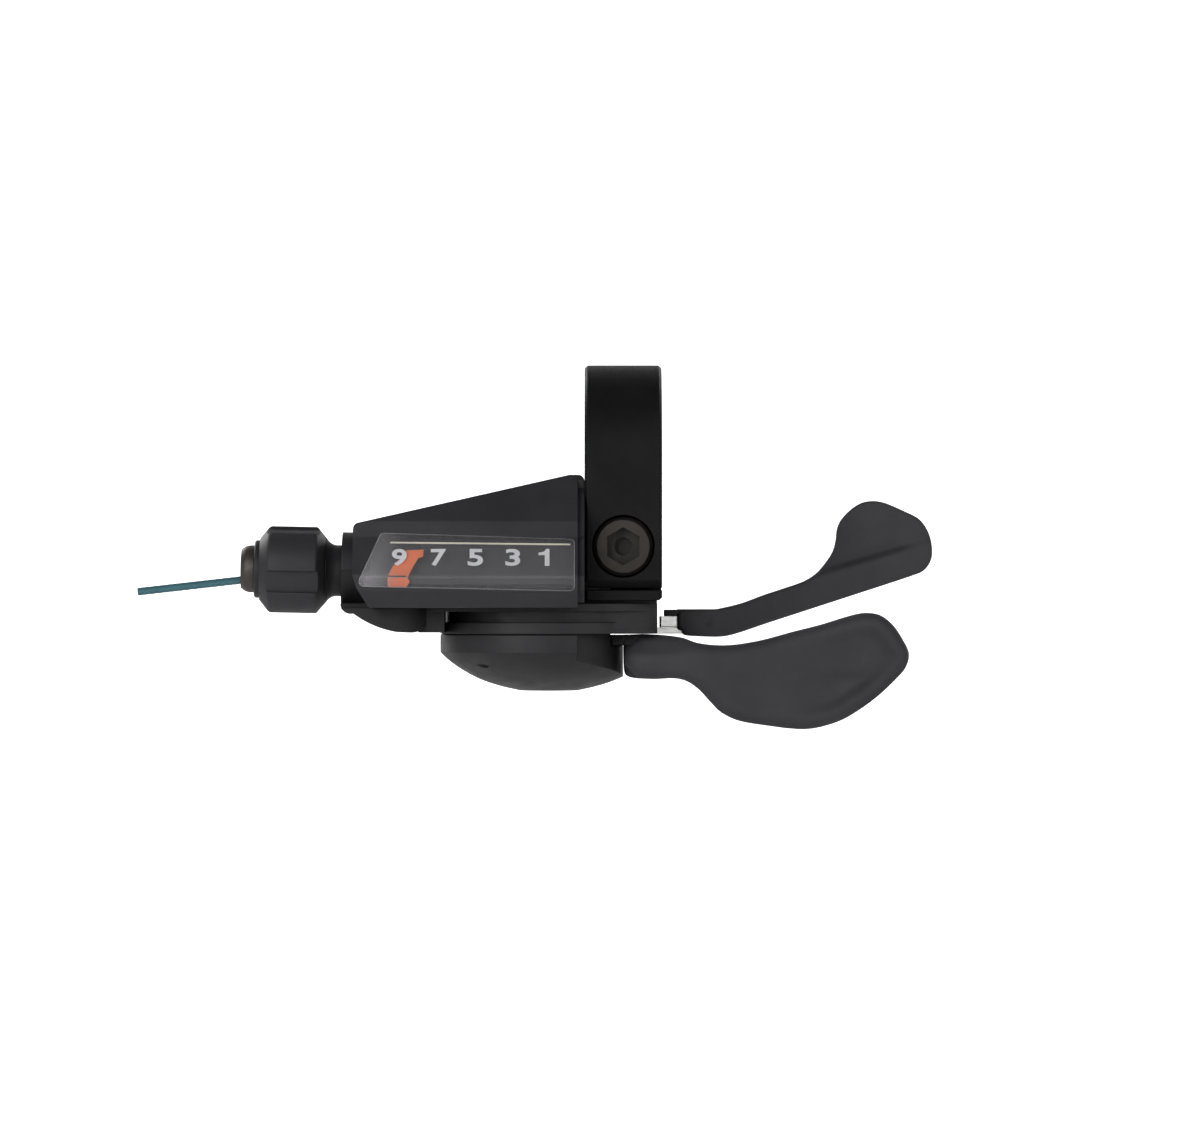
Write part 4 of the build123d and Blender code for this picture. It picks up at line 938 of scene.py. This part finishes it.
def studio_world():
    """World that is white to the camera; as a light it is strong below and dim overhead."""
    world = bpy.data.worlds.new("studio")
    world.use_nodes = True
    tree = world.node_tree
    background = tree.nodes["Background"]
    background.inputs["Color"].default_value = (1.0, 1.0, 1.0, 1)
    direction = tree.nodes.new("ShaderNodeTexCoord")
    split = tree.nodes.new("ShaderNodeSeparateXYZ")
    ceiling = tree.nodes.new("ShaderNodeMapRange")
    ceiling.inputs["From Min"].default_value = -0.05
    ceiling.inputs["From Max"].default_value = 0.75
    ceiling.inputs["To Min"].default_value = WORLD_HORIZON
    ceiling.inputs["To Max"].default_value = WORLD_ZENITH
    tree.links.new(direction.outputs["Generated"], split.inputs["Vector"])
    tree.links.new(split.outputs["Z"], ceiling.inputs["Value"])
    looked_at = tree.nodes.new("ShaderNodeLightPath")
    shown = tree.nodes.new("ShaderNodeMix")
    shown.inputs["B"].default_value = 1.0
    tree.links.new(looked_at.outputs["Is Camera Ray"], shown.inputs["Factor"])
    tree.links.new(ceiling.outputs["Result"], shown.inputs["A"])
    tree.links.new(shown.outputs["Result"], background.inputs["Strength"])
    return world


bpy.context.scene.world = studio_world()


def area(name, location, size, power):
    """Rectangular lamp aimed at the middle of the picture."""
    data = bpy.data.lights.new(name, "AREA")
    data.shape = "RECTANGLE"
    data.size, data.size_y = size
    data.energy = power
    obj = bpy.data.objects.new(name, data)
    bpy.context.scene.collection.objects.link(obj)
    obj.location = location
    obj.rotation_euler = (CENTRE - Vector(location)).to_track_quat("-Z", "Y").to_euler()


area("key", (-0.40, -0.62, 0.18), (0.45, 0.35), KEY_POWER)
area("fill", (0.55, -0.55, 0.10), (0.4, 0.5), FILL_POWER)
area("back", (-0.50, 0.60, 0.30), (0.4, 0.4), BACK_POWER)
area("back_low", (0.50, 0.60, 0.15), (0.4, 0.4), BACK_POWER)

camera_data = bpy.data.cameras.new("camera")
camera_data.lens = 200
camera_data.sensor_width = 36
camera_data.clip_start = 0.01
camera = bpy.data.objects.new("camera", camera_data)
bpy.context.scene.collection.objects.link(camera)
camera.location = (CENTRE.x, CAMERA_Y, CENTRE.z)
camera.rotation_euler = (math.radians(90), 0, 0)
bpy.context.scene.camera = camera
bpy.context.scene.view_settings.view_transform = "Standard"
